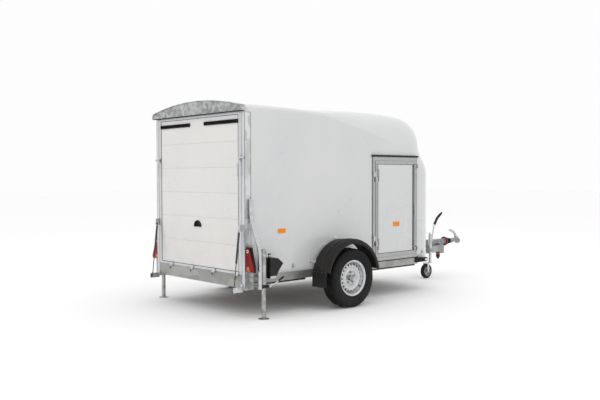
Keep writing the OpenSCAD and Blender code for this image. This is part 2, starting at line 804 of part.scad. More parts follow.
module ramp_vents() {
    color("#141414") place() both()
        block([134, -12, ramp_high - 112], [ramp_half - edge_w - 2, 2, ramp_high - 72]);
}

module ramp_pull_cup() {
    color("#141414") place() difference() {
        y_cyl(0, -8, 21, pull_z, pull_r);
        y_cyl(0, -9, 18, pull_z, pull_r - 7);
        block([-pull_r - 1, -20, pull_z - pull_r - 1], [pull_r + 1, 22, pull_z - 2]);
    }
}

// Upper hinge knuckles, strut lugs and latch bases
module ramp_brackets() {
    lug_x = strut_x + 7;
    color("lightgray") place() {
        for (x = knuckle_x) difference() {
            union() {
                x_cyl(x + knuckle_l + 1, x + 2 * knuckle_l, hinge_y, hinge_z, knuckle_r);
                block([x + knuckle_l + 1, hinge_y, hinge_z], [x + 2 * knuckle_l, 0, hinge_z + 38]);
            }
            x_cyl(x + knuckle_l, x + 2 * knuckle_l + 1, hinge_y, hinge_z, 4);
        }
        both() {
            block([lug_x, strut_high[1] - 14, strut_high[2] - 10], [lug_x + 5, 0, strut_high[2] + 60]);
            x_cyl(strut_x + 6.3 + air, lug_x, strut_high[1], strut_high[2], 9);
            block([latch_x - 20, -6, latch_z - 30], [latch_x + 16, 0, latch_z + 30]);
            y_cyl(latch_x, latch_y - 8, -6, latch_z, 5);
        }
    }
}

module ramp_latch(side) {
    reach = half_w - 12 - latch_x;
    color("lightgray") place() on_side(side) difference() {
        union() {
            y_cyl(latch_x, latch_y - 5, latch_y + 5, latch_z, 13);
            block([latch_x, latch_y - 5, latch_z - 2], [latch_x + reach + 14, latch_y + 5, latch_z + 16]);
            pipe([[latch_x, latch_y, latch_z], [latch_x - 4, latch_y - 14, latch_z - 60],
                [latch_x - 4, latch_y - 14, latch_z - 180]], 5);
        }
        y_cyl(latch_x, latch_y - 30, latch_y + 20, latch_z, 5 + run_fit);
        y_cyl(latch_x + reach, latch_y - 30, latch_y + 20, latch_z, 6 + air);
        block([latch_x + reach - 6.4, latch_y - 30, latch_z - 30],
            [latch_x + reach + 6.4, latch_y + 20, latch_z]);
    }
}

// Along the strut, measured from its lower pivot
module strut_axis() { translate(strut_low) rotate([-strut_tilt, 0, 0]) children(); }

module strut_rods() {
    color("#222222") place() both() strut_axis() difference() {
        union() {
            x_cyl(-7, 7, 0, 0, 12);
            z_cyl(0, 0, 8, strut_len - strut_body + strut_in, strut_rod_r);
        }
        x_cyl(-8, 8, 0, 0, 6 + run_fit);
    }
}

module strut_cylinders() {
    color("#151515") place() both() strut_axis() {
        difference() {
            z_cyl(0, 0, strut_len - strut_body, strut_len - 18, strut_r);
            z_cyl(0, 0, strut_len - strut_body - 1, strut_len - 36, strut_rod_r + run_fit);
        }
        z_cyl(0, 0, strut_len - 18, strut_len - 4, 5);
        x_cyl(-6, 6, 0, strut_len, 9);
    }
}

// ---------- hitch ----------

module overrun_housing() {
    color("silver") place() difference() {
        union() {
            block([-44, house_rear, deck_z], [44, house_rear + 170, shaft_z + 40]);
            y_cyl(0, house_rear + 100, house_front, shaft_z, 42);
            // Foot on the drawbar arms and the web between them
            block([-arm_x - arm_w, house_rear + 20, deck_z], [arm_x + arm_w, house_rear + 290, deck_z + 8]);
            block([-14, arm_front + 1, rail_z - 40], [14, house_front - 10, shaft_z]);
            y_cyl(0, house_front - 30, house_front, shaft_z, 50);
            // Boss of the handbrake lever
            x_cyl(20, brake_x - lever_r - 2 * air, brake_y, brake_z, 20);
            x_cyl(20, brake_x + 8, brake_y, brake_z, 9);
        }
        y_cyl(0, house_rear + 90, house_front + 1, shaft_z, shaft_r + run_fit);
    }
}

module bellows() {
    y0 = house_front;
    y1 = collar_y;
    pleats = 6;
    step = (y1 - y0 - 20) / pleats;
    outside = [for (i = [0 : pleats - 1], k = [0, 1]) [k == 0 ? 32 : 42, y0 + 14 + (i + k / 2) * step]];
    color("#181818") place() translate([0, 0, shaft_z]) rotate([-90, 0, 0]) rotate_extrude()
        polygon(concat([[shaft_r + 1, y0], [54, y0], [54, y0 + 14]], outside,
            [[36, y1 - 6], [36, y1], [shaft_r + 1, y1]]));
}

module overrun_shaft() {
    color("gainsboro") place() y_cyl(0, house_rear + 190, ball_y - 70, shaft_z, shaft_r);
}

module coupling_head() {
    color("silver") place() difference() {
        union() {
            y_cyl(0, collar_y, ball_y - 40, shaft_z, shaft_r + 10);
            block([-shaft_r - 9, collar_y + 40, shaft_z - 2], [shaft_r + 9, ball_y, shaft_z + 34]);
            translate([0, ball_y, ball_z]) sphere(r = head_r);
            block([-16, ball_y - 40, handle_z - 20], [16, ball_y + 10, handle_z + 8]);
            // Clamping bolts
            for (y = [collar_y + 25, collar_y + 75]) x_cyl(-46, 46, y, shaft_z + 14, 8);
        }
        translate([0, ball_y, ball_z]) sphere(r = ball_r);
        z_cyl(0, ball_y, ball_z - 60, ball_z, ball_r);
        y_cyl(0, collar_y - 1, ball_y - 70, shaft_z, shaft_r + run_fit);
    }
}

module coupling_handle() {
    tip = [0, 4440, handle_z + 118];
    color("silver") place() {
        for (x = [-21, 17]) block([x, ball_y - 52, handle_z], [x + 4, ball_y + 2, handle_z + 22]);
        block([-21, ball_y - 52, handle_z + 14], [21, ball_y - 6, handle_z + 22]);
        for (x = [-21, 16 + air]) x_cyl(x, x + 5 - air, ball_y - 10, handle_z + 6, 10);
        rod([0, ball_y - 44, handle_z + 18], tip, 13);
        translate(tip) sphere(r = 13.4);
    }
}

module handbrake_lever() {
    x = brake_x;
    color("silver") place() difference() {
        union() {
            x_cyl(x - lever_r, x + 8 - air, brake_y, brake_z, 24);
            pipe([[x, brake_y, brake_z], [x, 4000, 723], [x, 4066, 820], [x, 4180, 895]], lever_r);
            translate([x, 4180, 895]) sphere(r = lever_r + 0.4);
        }
        x_cyl(x - 20, x + 20, brake_y, brake_z, 9 + run_fit);
    }
}

module brake_rod() {
    color("silver") place() {
        y_cyl(rod_x, pivot_y + 80, arm_front - 20, rod_z, rod_r);
        // Equaliser bar in front of the axle
        block([-120, pivot_y + 72, rod_z - 12], [120, pivot_y + 80, rod_z + 8]);
    }
}

// ---------- jockey wheel ----------

module jockey_clamp() {
    x_arm = arm_x + arm_w + (arm_bend - jockey_y) * 0.26;
    color("silver") place() difference() {
        union() {
            z_cyl(jockey_x, jockey_y, jockey_low + 8, jockey_low + 58, jockey_tube_r + 7);
            block([x_arm - 14, jockey_y - 60, jockey_low + 8], [jockey_x, jockey_y + 60, jockey_low + 58]);
            x_cyl(jockey_x, jockey_x + 60, jockey_y, jockey_low + 33, 7);
            block([jockey_x + 50, jockey_y - 50, jockey_low + 29],
                [jockey_x + 58, jockey_y + 50, jockey_low + 37]);
        }
        z_cyl(jockey_x, jockey_y, jockey_low, jockey_low + 70, jockey_tube_r);
        translate([0, 0, rail_z - 2]) linear_extrude(rail_h + 4) arm_plan(0);
    }
}

module jockey_outer_tube() {
    color("gainsboro") place() difference() {
        z_cyl(jockey_x, jockey_y, jockey_low, jockey_high, jockey_tube_r);
        z_cyl(jockey_x, jockey_y, jockey_low - 1, jockey_high - 6, jockey_tube_r - 3);
        z_cyl(jockey_x, jockey_y, jockey_high - 10, jockey_high + 1, 7 + run_fit);
    }
}

module jockey_crank() {
    z = jockey_high;
    color("silver") place() {
        z_cyl(jockey_x, jockey_y, z - 5, z + 26, 7);
        z_cyl(jockey_x, jockey_y, z + air, z + 12, 16);
        block([jockey_x - 7, jockey_y - 110, z + 18], [jockey_x + 7, jockey_y, z + 24]);
        z_cyl(jockey_x, jockey_y - 102, z + 24, z + 62, 8);
    }
}

jockey_crown = 2 * jockey_r + 8;

module jockey_leg() {
    color("gainsboro") place() difference() {
        z_cyl(jockey_x, jockey_y, jockey_crown + 6 + air, jockey_low + 95, jockey_leg_r);
        z_cyl(jockey_x, jockey_y, jockey_crown, jockey_crown + 40, 8 + run_fit);
    }
}

// Castor fork that swivels on a pin in the leg
module jockey_fork() {
    z_crown = jockey_crown;
    y = jockey_y - jockey_trail;
    color("gainsboro") place() {
        z_cyl(jockey_x, jockey_y, z_crown + 1, z_crown + 38, 8);
        block([jockey_x - 38, y - 30, z_crown], [jockey_x + 38, jockey_y + 20, z_crown + 6]);
        for (x = [-38, 34]) block([jockey_x + x, y - 18, jockey_r - 18], [jockey_x + x + 4, y + 18, z_crown]);
        x_cyl(jockey_x - 44, jockey_x + 44, y, jockey_r, 8);
    }
}

module at_jockey() { translate([jockey_x, jockey_y - jockey_trail, jockey_r]) children(); }

module jockey_wheel() {
    color("gray") place() at_jockey() difference() {
        wheel_turn([[8 + run_fit, -30], [18, -30], [18, -8], [56, -5], [56, -24], [66, -24],
            [66, 24], [56, 24], [56, 5], [18, 8], [18, 30], [8 + run_fit, 30]]);
        for (k = [0 : 4]) rotate([k * 72, 0, 0]) x_cyl(-30, 30, 0, 37, 9);
    }
}

module jockey_tyre() {
    r = jockey_r;
    w = jockey_w / 2;
    color("#202020") place() at_jockey() wheel_turn([[66 + air / 3, -w + 3], [r - 14, -w], [r - 4, -w + 6],
        [r, -w + 16], [r, w - 16], [r - 4, w - 6], [r - 14, w], [66 + air / 3, w - 3]]);
}

// Parking socket with the lighting plug in it, under the right drawbar arm
module plug_holder() {
    x = arm_x + arm_w / 2;
    y = 4055;
    color("#161616") place() {
        block([x - 14, y - 14, rail_z - 12], [x + 14, y + 14, rail_z]);
        y_cyl(x, y - 26, y + 26, rail_z - 32, 23);
        y_cyl(x, y + 25, y + 50, rail_z - 32, 15);
    }
}

chassis_frame();
drawbar();
threshold_beam();
rear_posts();
rear_hood();
body_shell();
floor_board();
axle_beam();
mudguards();
lamp_guards();
lamp_housings();
lamp_lenses();
marker_lamps();
prop_sleeves();
prop_clamps();
door_surround();
door_gutter();
wheel_chock();
chock_holder();
overrun_housing();
bellows();
jockey_clamp();
jockey_outer_tube();
plug_holder();
rear_brackets();
ramp_panel();
ramp_frame();
ramp_vents();
ramp_pull_cup();
ramp_brackets();
ramp_latch(-1);  // ramp_latch_left
ramp_latch(1);  // ramp_latch_right
strut_rods();
strut_cylinders();
door_panel();
door_edge();
door_fittings();
door_lock_bar();
swing_arm(-1);  // swing_arm_left
swing_arm(1);  // swing_arm_right
hub(-1);  // hub_left
hub(1);  // hub_right
rim(-1);  // rim_left
rim(1);  // rim_right
tyre(-1);  // tyre_left
tyre(1);  // tyre_right
jockey_leg();
jockey_fork();
jockey_wheel();
jockey_tyre();
jockey_crank();
overrun_shaft();
coupling_head();
coupling_handle();
handbrake_lever();
brake_rod();
prop_leg(-1);  // prop_leg_left
prop_leg(1);  // prop_leg_right
prop_lever(-1);  // prop_lever_left
prop_lever(1);  // prop_lever_right
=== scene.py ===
"""Livestock trailer: finishes, moulded skins and small fittings around the fixed frame."""
import json
import math

import bmesh
import bpy
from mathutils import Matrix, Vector


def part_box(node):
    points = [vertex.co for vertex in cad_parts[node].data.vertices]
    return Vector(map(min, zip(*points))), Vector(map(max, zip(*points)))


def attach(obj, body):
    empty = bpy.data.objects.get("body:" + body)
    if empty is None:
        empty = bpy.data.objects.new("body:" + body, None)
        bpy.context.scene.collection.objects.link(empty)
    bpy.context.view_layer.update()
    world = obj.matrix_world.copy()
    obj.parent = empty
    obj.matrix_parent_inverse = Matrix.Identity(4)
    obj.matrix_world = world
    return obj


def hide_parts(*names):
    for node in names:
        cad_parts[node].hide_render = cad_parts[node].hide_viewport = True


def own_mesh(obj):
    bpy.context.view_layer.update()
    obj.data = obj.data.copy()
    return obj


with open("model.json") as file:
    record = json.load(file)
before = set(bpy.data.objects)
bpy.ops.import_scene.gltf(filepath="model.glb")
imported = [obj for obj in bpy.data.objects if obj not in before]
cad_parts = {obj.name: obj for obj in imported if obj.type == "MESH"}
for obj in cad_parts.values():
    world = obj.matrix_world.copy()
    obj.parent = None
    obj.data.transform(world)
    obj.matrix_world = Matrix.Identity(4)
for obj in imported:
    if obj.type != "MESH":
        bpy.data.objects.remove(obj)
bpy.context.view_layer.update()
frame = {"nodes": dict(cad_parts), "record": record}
nodes = frame["nodes"]

MM = 0.001
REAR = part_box("rear_posts")[0].y  # the rear face of the body
HALF_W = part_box("body_shell")[1].x / MM
CROWN = 2212.0


# ---------------------------------------------------------------- node trees

def node(tree, kind, inputs=None, **settings):
    """Adds a shader node, sets its options, and fills or links its inputs."""
    made = tree.nodes.new("ShaderNode" + kind)
    for key, value in settings.items():
        setattr(made, key, value)
    for key, value in (inputs or {}).items():
        if isinstance(value, bpy.types.NodeSocket):
            tree.links.new(value, made.inputs[key])
        else:
            made.inputs[key].default_value = value
    return made


def calc(tree, operation, a, b=0.0, clamp=False):
    """One math step; returns its result."""
    return node(tree, "Math", {0: a, 1: b}, operation=operation, use_clamp=clamp).outputs[0]


def ramp_value(tree, value, low, high, out_low=0.0, out_high=1.0):
    """Maps low..high smoothly to out_low..out_high."""
    made = node(tree, "MapRange", {0: value, 1: low, 2: high, 3: out_low, 4: out_high},
                interpolation_type="SMOOTHSTEP")
    return made.outputs[0]


def mix_colour(tree, share, a, b):
    """Mixes two colours by a share from 0 to 1."""
    return node(tree, "Mix", {0: share, 6: a, 7: b}, data_type="RGBA").outputs[2]


def new_group(name, takes, gives):
    """A shader node group with named float or vector inputs and value outputs."""
    tree = bpy.data.node_groups.new(name, "ShaderNodeTree")
    for label, kind, value in takes:
        tree.interface.new_socket(label, in_out="INPUT", socket_type=kind).default_value = value
    for label in gives:
        tree.interface.new_socket(label, in_out="OUTPUT", socket_type="NodeSocketFloat")
    return tree, tree.nodes.new("NodeGroupInput"), tree.nodes.new("NodeGroupOutput")


FLOAT, VECTOR = "NodeSocketFloat", "NodeSocketVector"


def road_film_group():
    """Dust and spray that fade out with height above the road, broken up by noise."""
    tree, given, result = new_group(
        "road_film", [("Reach", FLOAT, 0.7), ("Amount", FLOAT, 0.5)], ["Mask"])
    place = node(tree, "TexCoord").outputs["Object"]
    height = node(tree, "SeparateXYZ", {0: place}).outputs["Z"]
    fade = calc(tree, "SUBTRACT", 1.0, calc(tree, "DIVIDE", height, given.outputs["Reach"]), True)
    blotch = node(tree, "TexNoise", {"Vector": place, "Scale": 7.0, "Detail": 8.0,
                                     "Roughness": 0.65}).outputs["Fac"]
    speck = node(tree, "TexNoise", {"Vector": place, "Scale": 160.0, "Detail": 3.0}).outputs["Fac"]
    spread = calc(tree, "MULTIPLY", fade, ramp_value(tree, blotch, 0.3, 0.75, 0.25, 1.0))
    grit = ramp_value(tree, speck, 0.45, 0.75, 0.7, 1.3)
    amount = calc(tree, "MULTIPLY", calc(tree, "MULTIPLY", spread, grit), given.outputs["Amount"], True)
    tree.links.new(amount, result.inputs["Mask"])
    return tree


def worn_edge_group():
    """Where edges are rubbed: the rounded normal against the true one, broken up by noise."""
    tree, given, result = new_group(
        "worn_edge", [("Radius", FLOAT, 0.002), ("Gain", FLOAT, 3.0)], ["Mask"])
    rounded = node(tree, "Bevel", {"Radius": given.outputs["Radius"]}, samples=4).outputs[0]
    plain = node(tree, "NewGeometry").outputs["Normal"]
    match = node(tree, "VectorMath", {0: rounded, 1: plain}, operation="DOT_PRODUCT").outputs["Value"]
    edge = calc(tree, "MULTIPLY", calc(tree, "SUBTRACT", 1.0, match), given.outputs["Gain"], True)
    place = node(tree, "TexCoord").outputs["Object"]
    chips = node(tree, "TexNoise", {"Vector": place, "Scale": 55.0, "Detail": 6.0}).outputs["Fac"]
    tree.links.new(calc(tree, "MULTIPLY", edge, ramp_value(tree, chips, 0.42, 0.62)), result.inputs["Mask"])
    return tree


def zinc_flake_group():
    """The crystal flakes of hot-dip zinc: a tone per flake, and their raised borders."""
    tree, given, result = new_group(
        "zinc_flake", [("Scale", FLOAT, 70.0)], ["Tone", "Height"])
    place = node(tree, "TexCoord").outputs["Object"]
    warp = node(tree, "TexNoise", {"Vector": place, "Scale": 22.0, "Detail": 2.0}).outputs["Color"]
    bent = node(tree, "VectorMath", {0: place, 1: node(
        tree, "VectorMath", {0: warp, 3: 0.02}, operation="SCALE").outputs[0]}).outputs[0]
    flake = node(tree, "TexVoronoi", {"Vector": bent, "Scale": given.outputs["Scale"]})
    tone = node(tree, "SeparateColor", {0: flake.outputs["Color"]}).outputs[0]
    broad = node(tree, "TexNoise", {"Vector": place, "Scale": 3.5, "Detail": 5.0}).outputs["Fac"]
    mixed = calc(tree, "ADD", calc(tree, "MULTIPLY", tone, 0.55), calc(tree, "MULTIPLY", broad, 0.45))
    tree.links.new(mixed, result.inputs["Tone"])
    tree.links.new(flake.outputs["Distance"], result.inputs["Height"])
    return tree


def drawn_line_group():
    """Fine lines left by extrusion or drawing; Stretch is small along the lines."""
    tree, given, result = new_group(
        "drawn_line", [("Stretch", VECTOR, (300.0, 300.0, 3.0))], ["Tone"])
    place = node(tree, "TexCoord").outputs["Object"]
    pulled = node(tree, "VectorMath", {0: place, 1: given.outputs["Stretch"]},
                  operation="MULTIPLY").outputs[0]
    lines = node(tree, "TexNoise", {"Vector": pulled, "Scale": 1.0, "Detail": 4.0,
                                    "Roughness": 0.6}).outputs["Fac"]
    tree.links.new(lines, result.inputs["Tone"])
    return tree


def mould_grain_group():
    """The pebbled surface of moulded plastic and rubber."""
    tree, given, result = new_group("mould_grain", [("Scale", FLOAT, 900.0)], ["Height", "Tone"])
    place = node(tree, "TexCoord").outputs["Object"]
    pebble = node(tree, "TexVoronoi", {"Vector": place, "Scale": given.outputs["Scale"]},
                  feature="SMOOTH_F1").outputs["Distance"]
    fleck = node(tree, "TexNoise", {"Vector": place, "Scale": 30.0, "Detail": 6.0}).outputs["Fac"]
    tree.links.new(pebble, result.inputs["Height"])
    tree.links.new(fleck, result.inputs["Tone"])
    return tree


ROAD_FILM = road_film_group()
WORN_EDGE = worn_edge_group()
ZINC_FLAKE = zinc_flake_group()
DRAWN_LINE = drawn_line_group()
MOULD_GRAIN = mould_grain_group()
DUST = (0.30, 0.27, 0.22, 1.0)


def use_group(tree, group, **values):
    """Places a node group and sets its inputs."""
    made = tree.nodes.new("ShaderNodeGroup")
    made.node_tree = group
    for key, value in values.items():
        made.inputs[key].default_value = value
    return made.outputs


def new_finish(name, **sockets):
    """A material with a principled shader whose fixed values are set directly."""
    material = bpy.data.materials.new(name)
    material.use_nodes = True
    tree = material.node_tree
    shader = tree.nodes["Principled BSDF"]
    for key, value in sockets.items():
        shader.inputs[key.replace("_", " ")].default_value = value
    return material, tree, shader


def raise_by(tree, shader, height, strength, distance):
    """Bumps the surface by a height."""
    bump = node(tree, "Bump", {"Height": height, "Strength": strength, "Distance": distance})
    tree.links.new(bump.outputs[0], shader.inputs["Normal"])


# ---------------------------------------------------------------- finishes

def gelcoat_finish(name="gelcoat", tint=(0.80, 0.81, 0.815, 1.0), film=0.35, reach=0.95):
    """White polyester gelcoat: glossy, very slightly wavy, with road film low down."""
    material, tree, shader = new_finish(name, Coat_Weight=0.55, Coat_Roughness=0.06, IOR=1.48)
    place = node(tree, "TexCoord").outputs["Object"]
    cloud = node(tree, "TexNoise", {"Vector": place, "Scale": 1.6, "Detail": 4.0}).outputs["Fac"]
    white = mix_colour(tree, ramp_value(tree, cloud, 0.3, 0.7),
                       (tint[0] * 0.955, tint[1] * 0.96, tint[2] * 0.97, 1.0), tint)
    dust = use_group(tree, ROAD_FILM, Reach=reach, Amount=film)["Mask"]
    tree.links.new(mix_colour(tree, dust, white, DUST), shader.inputs["Base Color"])
    rough = calc(tree, "ADD", ramp_value(tree, cloud, 0.2, 0.8, 0.26, 0.34),
                 calc(tree, "MULTIPLY", dust, 0.35))
    tree.links.new(rough, shader.inputs["Roughness"])
    wave = node(tree, "TexNoise", {"Vector": place, "Scale": 55.0, "Detail": 2.0}).outputs["Fac"]
    raise_by(tree, shader, wave, 0.05, 0.0012)
    return material


def galvanised_finish(name="galvanised", flake=26.0, light=(0.49, 0.50, 0.49, 1.0),
                      dark=(0.31, 0.32, 0.32, 1.0), film=0.3):
    """Hot-dip zinc: dull grey flakes of many tones."""
    material, tree, shader = new_finish(name, Metallic=0.85)
    zinc = use_group(tree, ZINC_FLAKE, Scale=flake)
    share = ramp_value(tree, zinc["Tone"], 0.2, 0.8)
    dust = use_group(tree, ROAD_FILM, Reach=0.8, Amount=film)["Mask"]
    rub = use_group(tree, WORN_EDGE, Radius=0.0015, Gain=2.5)["Mask"]
    metal = mix_colour(tree, rub, mix_colour(tree, share, dark, light), (0.78, 0.80, 0.82, 1.0))
    tree.links.new(mix_colour(tree, dust, metal, DUST), shader.inputs["Base Color"])
    tree.links.new(ramp_value(tree, zinc["Tone"], 0.2, 0.8, 0.52, 0.34), shader.inputs["Roughness"])
    raise_by(tree, shader, zinc["Height"], 0.12, 0.0008)
    return material


def aluminium_finish(name, stretch, tone=(0.70, 0.71, 0.72, 1.0)):
    """Mill-finish aluminium extrusion with fine lines along its length."""
    material, tree, shader = new_finish(name, Metallic=0.9)
    line = use_group(tree, DRAWN_LINE, Stretch=stretch)["Tone"]
    dust = use_group(tree, ROAD_FILM, Reach=0.9, Amount=0.25)["Mask"]
    rub = use_group(tree, WORN_EDGE, Radius=0.001, Gain=2.0)["Mask"]
    dull = (tone[0] * 0.80, tone[1] * 0.81, tone[2] * 0.83, 1.0)
    metal = mix_colour(tree, rub, mix_colour(tree, ramp_value(tree, line, 0.3, 0.7), dull, tone),
                       (0.85, 0.86, 0.88, 1.0))
    tree.links.new(mix_colour(tree, dust, metal, DUST), shader.inputs["Base Color"])
    tree.links.new(ramp_value(tree, line, 0.25, 0.75, 0.46, 0.33), shader.inputs["Roughness"])
    raise_by(tree, shader, line, 0.05, 0.0004)
    return material


def zinc_plate_finish():
    """Bright zinc-plated steel with a faint blue cast and dulled patches."""
    material, tree, shader = new_finish("zinc_plate", Metallic=1.0)
    grain = use_group(tree, MOULD_GRAIN, Scale=1400.0)
    rub = use_group(tree, WORN_EDGE, Radius=0.001, Gain=3.0)["Mask"]
    share = ramp_value(tree, grain["Tone"], 0.35, 0.65)
    metal = mix_colour(tree, share, (0.50, 0.51, 0.525, 1.0), (0.60, 0.61, 0.62, 1.0))
    tree.links.new(mix_colour(tree, rub, metal, (0.86, 0.87, 0.88, 1.0)), shader.inputs["Base Color"])
    tree.links.new(ramp_value(tree, grain["Tone"], 0.3, 0.7, 0.36, 0.22), shader.inputs["Roughness"])
    raise_by(tree, shader, grain["Height"], 0.03, 0.0003)
    return material


def cast_finish(name="cast_metal", tone=(0.34, 0.345, 0.34, 1.0), metallic=0.75):
    """Sand-cast metal, silver painted, with rubbed edges."""
    material, tree, shader = new_finish(name, Metallic=metallic)
    grain = use_group(tree, MOULD_GRAIN, Scale=520.0)
    rub = use_group(tree, WORN_EDGE, Radius=0.0025, Gain=3.0)["Mask"]
    dull = (tone[0] * 0.72, tone[1] * 0.72, tone[2] * 0.74, 1.0)
    metal = mix_colour(tree, ramp_value(tree, grain["Tone"], 0.3, 0.7), dull, tone)
    tree.links.new(mix_colour(tree, rub, metal, (0.76, 0.77, 0.78, 1.0)), shader.inputs["Base Color"])
    tree.links.new(ramp_value(tree, grain["Tone"], 0.3, 0.7, 0.58, 0.42), shader.inputs["Roughness"])
    raise_by(tree, shader, grain["Height"], 0.22, 0.0008)
    return material


def black_mould_finish(name="black_moulding", tone=0.006, rough=0.42, grain_size=900.0, film=0.5):
    """Moulded black plastic: pebbled, slightly greyed, with road film low down."""
    material, tree, shader = new_finish(name, IOR=1.5, Specular_IOR_Level=0.22)
    grain = use_group(tree, MOULD_GRAIN, Scale=grain_size)
    dust = use_group(tree, ROAD_FILM, Reach=0.85, Amount=film)["Mask"]
    rub = use_group(tree, WORN_EDGE, Radius=0.002, Gain=1.5)["Mask"]
    body = mix_colour(tree, ramp_value(tree, grain["Tone"], 0.3, 0.7),
                      (tone * 0.8, tone * 0.8, tone * 0.82, 1.0),
                      (tone * 1.5, tone * 1.5, tone * 1.55, 1.0))
    body = mix_colour(tree, rub, body, (0.09, 0.09, 0.092, 1.0))
    tree.links.new(mix_colour(tree, calc(tree, "MULTIPLY", dust, 0.35), body, DUST),
                   shader.inputs["Base Color"])
    tree.links.new(calc(tree, "ADD", ramp_value(tree, grain["Tone"], 0.3, 0.7, rough, rough + 0.12),
                        calc(tree, "MULTIPLY", dust, 0.2)), shader.inputs["Roughness"])
    raise_by(tree, shader, grain["Height"], 0.18, 0.0004)
    return material


def tyre_finish():
    """Tyre rubber, pebbled, with a little road film low down."""
    material, tree, shader = new_finish("tyre_rubber", IOR=1.5, Specular_IOR_Level=0.16)
    grain = use_group(tree, MOULD_GRAIN, Scale=700.0)
    dust = use_group(tree, ROAD_FILM, Reach=0.75, Amount=0.8)["Mask"]
    body = mix_colour(tree, ramp_value(tree, grain["Tone"], 0.3, 0.7),
                      (0.005, 0.005, 0.0055, 1.0), (0.012, 0.012, 0.0125, 1.0))
    tree.links.new(mix_colour(tree, calc(tree, "MULTIPLY", dust, 0.07), body, DUST),
                   shader.inputs["Base Color"])
    tree.links.new(ramp_value(tree, grain["Tone"], 0.3, 0.7, 0.55, 0.75), shader.inputs["Roughness"])
    raise_by(tree, shader, grain["Height"], 0.25, 0.0006)
    return material


def painted_finish(name, tone, rough=0.35, metallic=0.0, coat=0.3, film=0.3):
    """Sprayed paint with an even skin, chipped edges and road film."""
    material, tree, shader = new_finish(name, Metallic=metallic, Coat_Weight=coat, Coat_Roughness=0.15)
    grain = use_group(tree, MOULD_GRAIN, Scale=380.0)
    dust = use_group(tree, ROAD_FILM, Reach=0.7, Amount=film)["Mask"]
    rub = use_group(tree, WORN_EDGE, Radius=0.0015, Gain=2.0)["Mask"]
    dull = tuple(c * 0.82 for c in tone[:3]) + (1.0,)
    body = mix_colour(tree, ramp_value(tree, grain["Tone"], 0.3, 0.7), dull, tone)
    body = mix_colour(tree, calc(tree, "MULTIPLY", rub, 0.6), body, (0.45, 0.45, 0.46, 1.0))
    tree.links.new(mix_colour(tree, calc(tree, "MULTIPLY", dust, 0.5), body, DUST),
                   shader.inputs["Base Color"])
    tree.links.new(ramp_value(tree, grain["Tone"], 0.3, 0.7, rough, rough + 0.1),
                   shader.inputs["Roughness"])
    raise_by(tree, shader, grain["Height"], 0.06, 0.0005)
    return material


def lens_finish(name, tone, deep, prism=230.0, glow=0.0, coat=0.4):
    """A moulded lamp lens: clear gloss over rows of small prisms; glow gives it light of its own, which on
    the reflectors is a painted glow.
    """
    material, tree, shader = new_finish(name, Coat_Weight=coat, Coat_Roughness=0.03, IOR=1.45,
                                        Specular_IOR_Level=coat, Emission_Strength=glow)
    place = node(tree, "TexCoord").outputs["Object"]
    cell = node(tree, "TexVoronoi", {"Vector": place, "Scale": prism,
                                     "Randomness": 0.0}).outputs["Distance"]
    body = mix_colour(tree, ramp_value(tree, cell, 0.1, 0.6), tone, deep)
    tree.links.new(body, shader.inputs["Base Color"])
    tree.links.new(body, shader.inputs["Emission Color"])
    tree.links.new(ramp_value(tree, cell, 0.1, 0.6, 0.10, 0.24), shader.inputs["Roughness"])
    raise_by(tree, shader, cell, 0.5, 0.002)
    return material


def floor_ply_finish():
    """Brown film-faced plywood with a pressed mesh pattern."""
    material, tree, shader = new_finish("floor_ply", Coat_Weight=0.2, Coat_Roughness=0.3)
    place = node(tree, "TexCoord").outputs["Object"]
    wood = node(tree, "TexNoise", {"Vector": node(tree, "VectorMath", {0: place, 1: (30.0, 3.0, 30.0)},
                operation="MULTIPLY").outputs[0], "Scale": 1.0, "Detail": 6.0}).outputs["Fac"]
    mesh = node(tree, "TexVoronoi", {"Vector": place, "Scale": 260.0,
                                     "Randomness": 0.0}).outputs["Distance"]
    tree.links.new(mix_colour(tree, ramp_value(tree, wood, 0.3, 0.7), (0.045, 0.026, 0.016, 1.0),
                              (0.10, 0.058, 0.034, 1.0)), shader.inputs["Base Color"])
    tree.links.new(ramp_value(tree, wood, 0.3, 0.7, 0.55, 0.42), shader.inputs["Roughness"])
    raise_by(tree, shader, mesh, 0.4, 0.0015)
    return material


GELCOAT = gelcoat_finish("gelcoat", (0.622, 0.624, 0.624, 1.0), 0.05, 0.8)
RAMP_WHITE = gelcoat_finish("ramp_white", (0.725, 0.715, 0.695, 1.0), 0.35, 1.1)
GALVANISED = galvanised_finish()
POST_ZINC = galvanised_finish("post_zinc", 9.0, (0.66, 0.67, 0.67, 1.0), (0.46, 0.47, 0.47, 1.0), 0.35)
RAIL_ZINC = galvanised_finish("rail_zinc", 8.0, (0.39, 0.39, 0.375, 1.0), (0.32, 0.32, 0.31, 1.0), 0.15)
GALVANISED_HOOD = galvanised_finish("galvanised_hood", 22.0, (0.50, 0.51, 0.51, 1.0),
                                    (0.30, 0.31, 0.31, 1.0), 0.0)
ALU_UPRIGHT = aluminium_finish("aluminium_upright", (260.0, 260.0, 3.0))
ALU_DOOR = aluminium_finish("aluminium_door", (260.0, 260.0, 3.0), (0.48, 0.485, 0.475, 1.0))
ALU_ACROSS = aluminium_finish("aluminium_across", (3.0, 260.0, 260.0))
ZINC = zinc_plate_finish()
CAST = cast_finish()
BLACK = black_mould_finish()
SMOOTH_BLACK = black_mould_finish("smooth_black", 0.008, 0.28, 1600.0, 0.25)
SEAL_RUBBER = black_mould_finish("seal_rubber", 0.008, 0.55, 1200.0, 0.3)
TYRE = tyre_finish()
RIM_SILVER = painted_finish("rim_silver", (0.62, 0.63, 0.64, 1.0), 0.30, 0.75, 0.4)
AXLE_BLACK = painted_finish("axle_black", (0.02, 0.02, 0.021, 1.0), 0.4, 0.0, 0.3, 0.6)
STRUT_BLACK = painted_finish("strut_black", (0.012, 0.012, 0.013, 1.0), 0.25, 0.0, 0.5, 0.1)
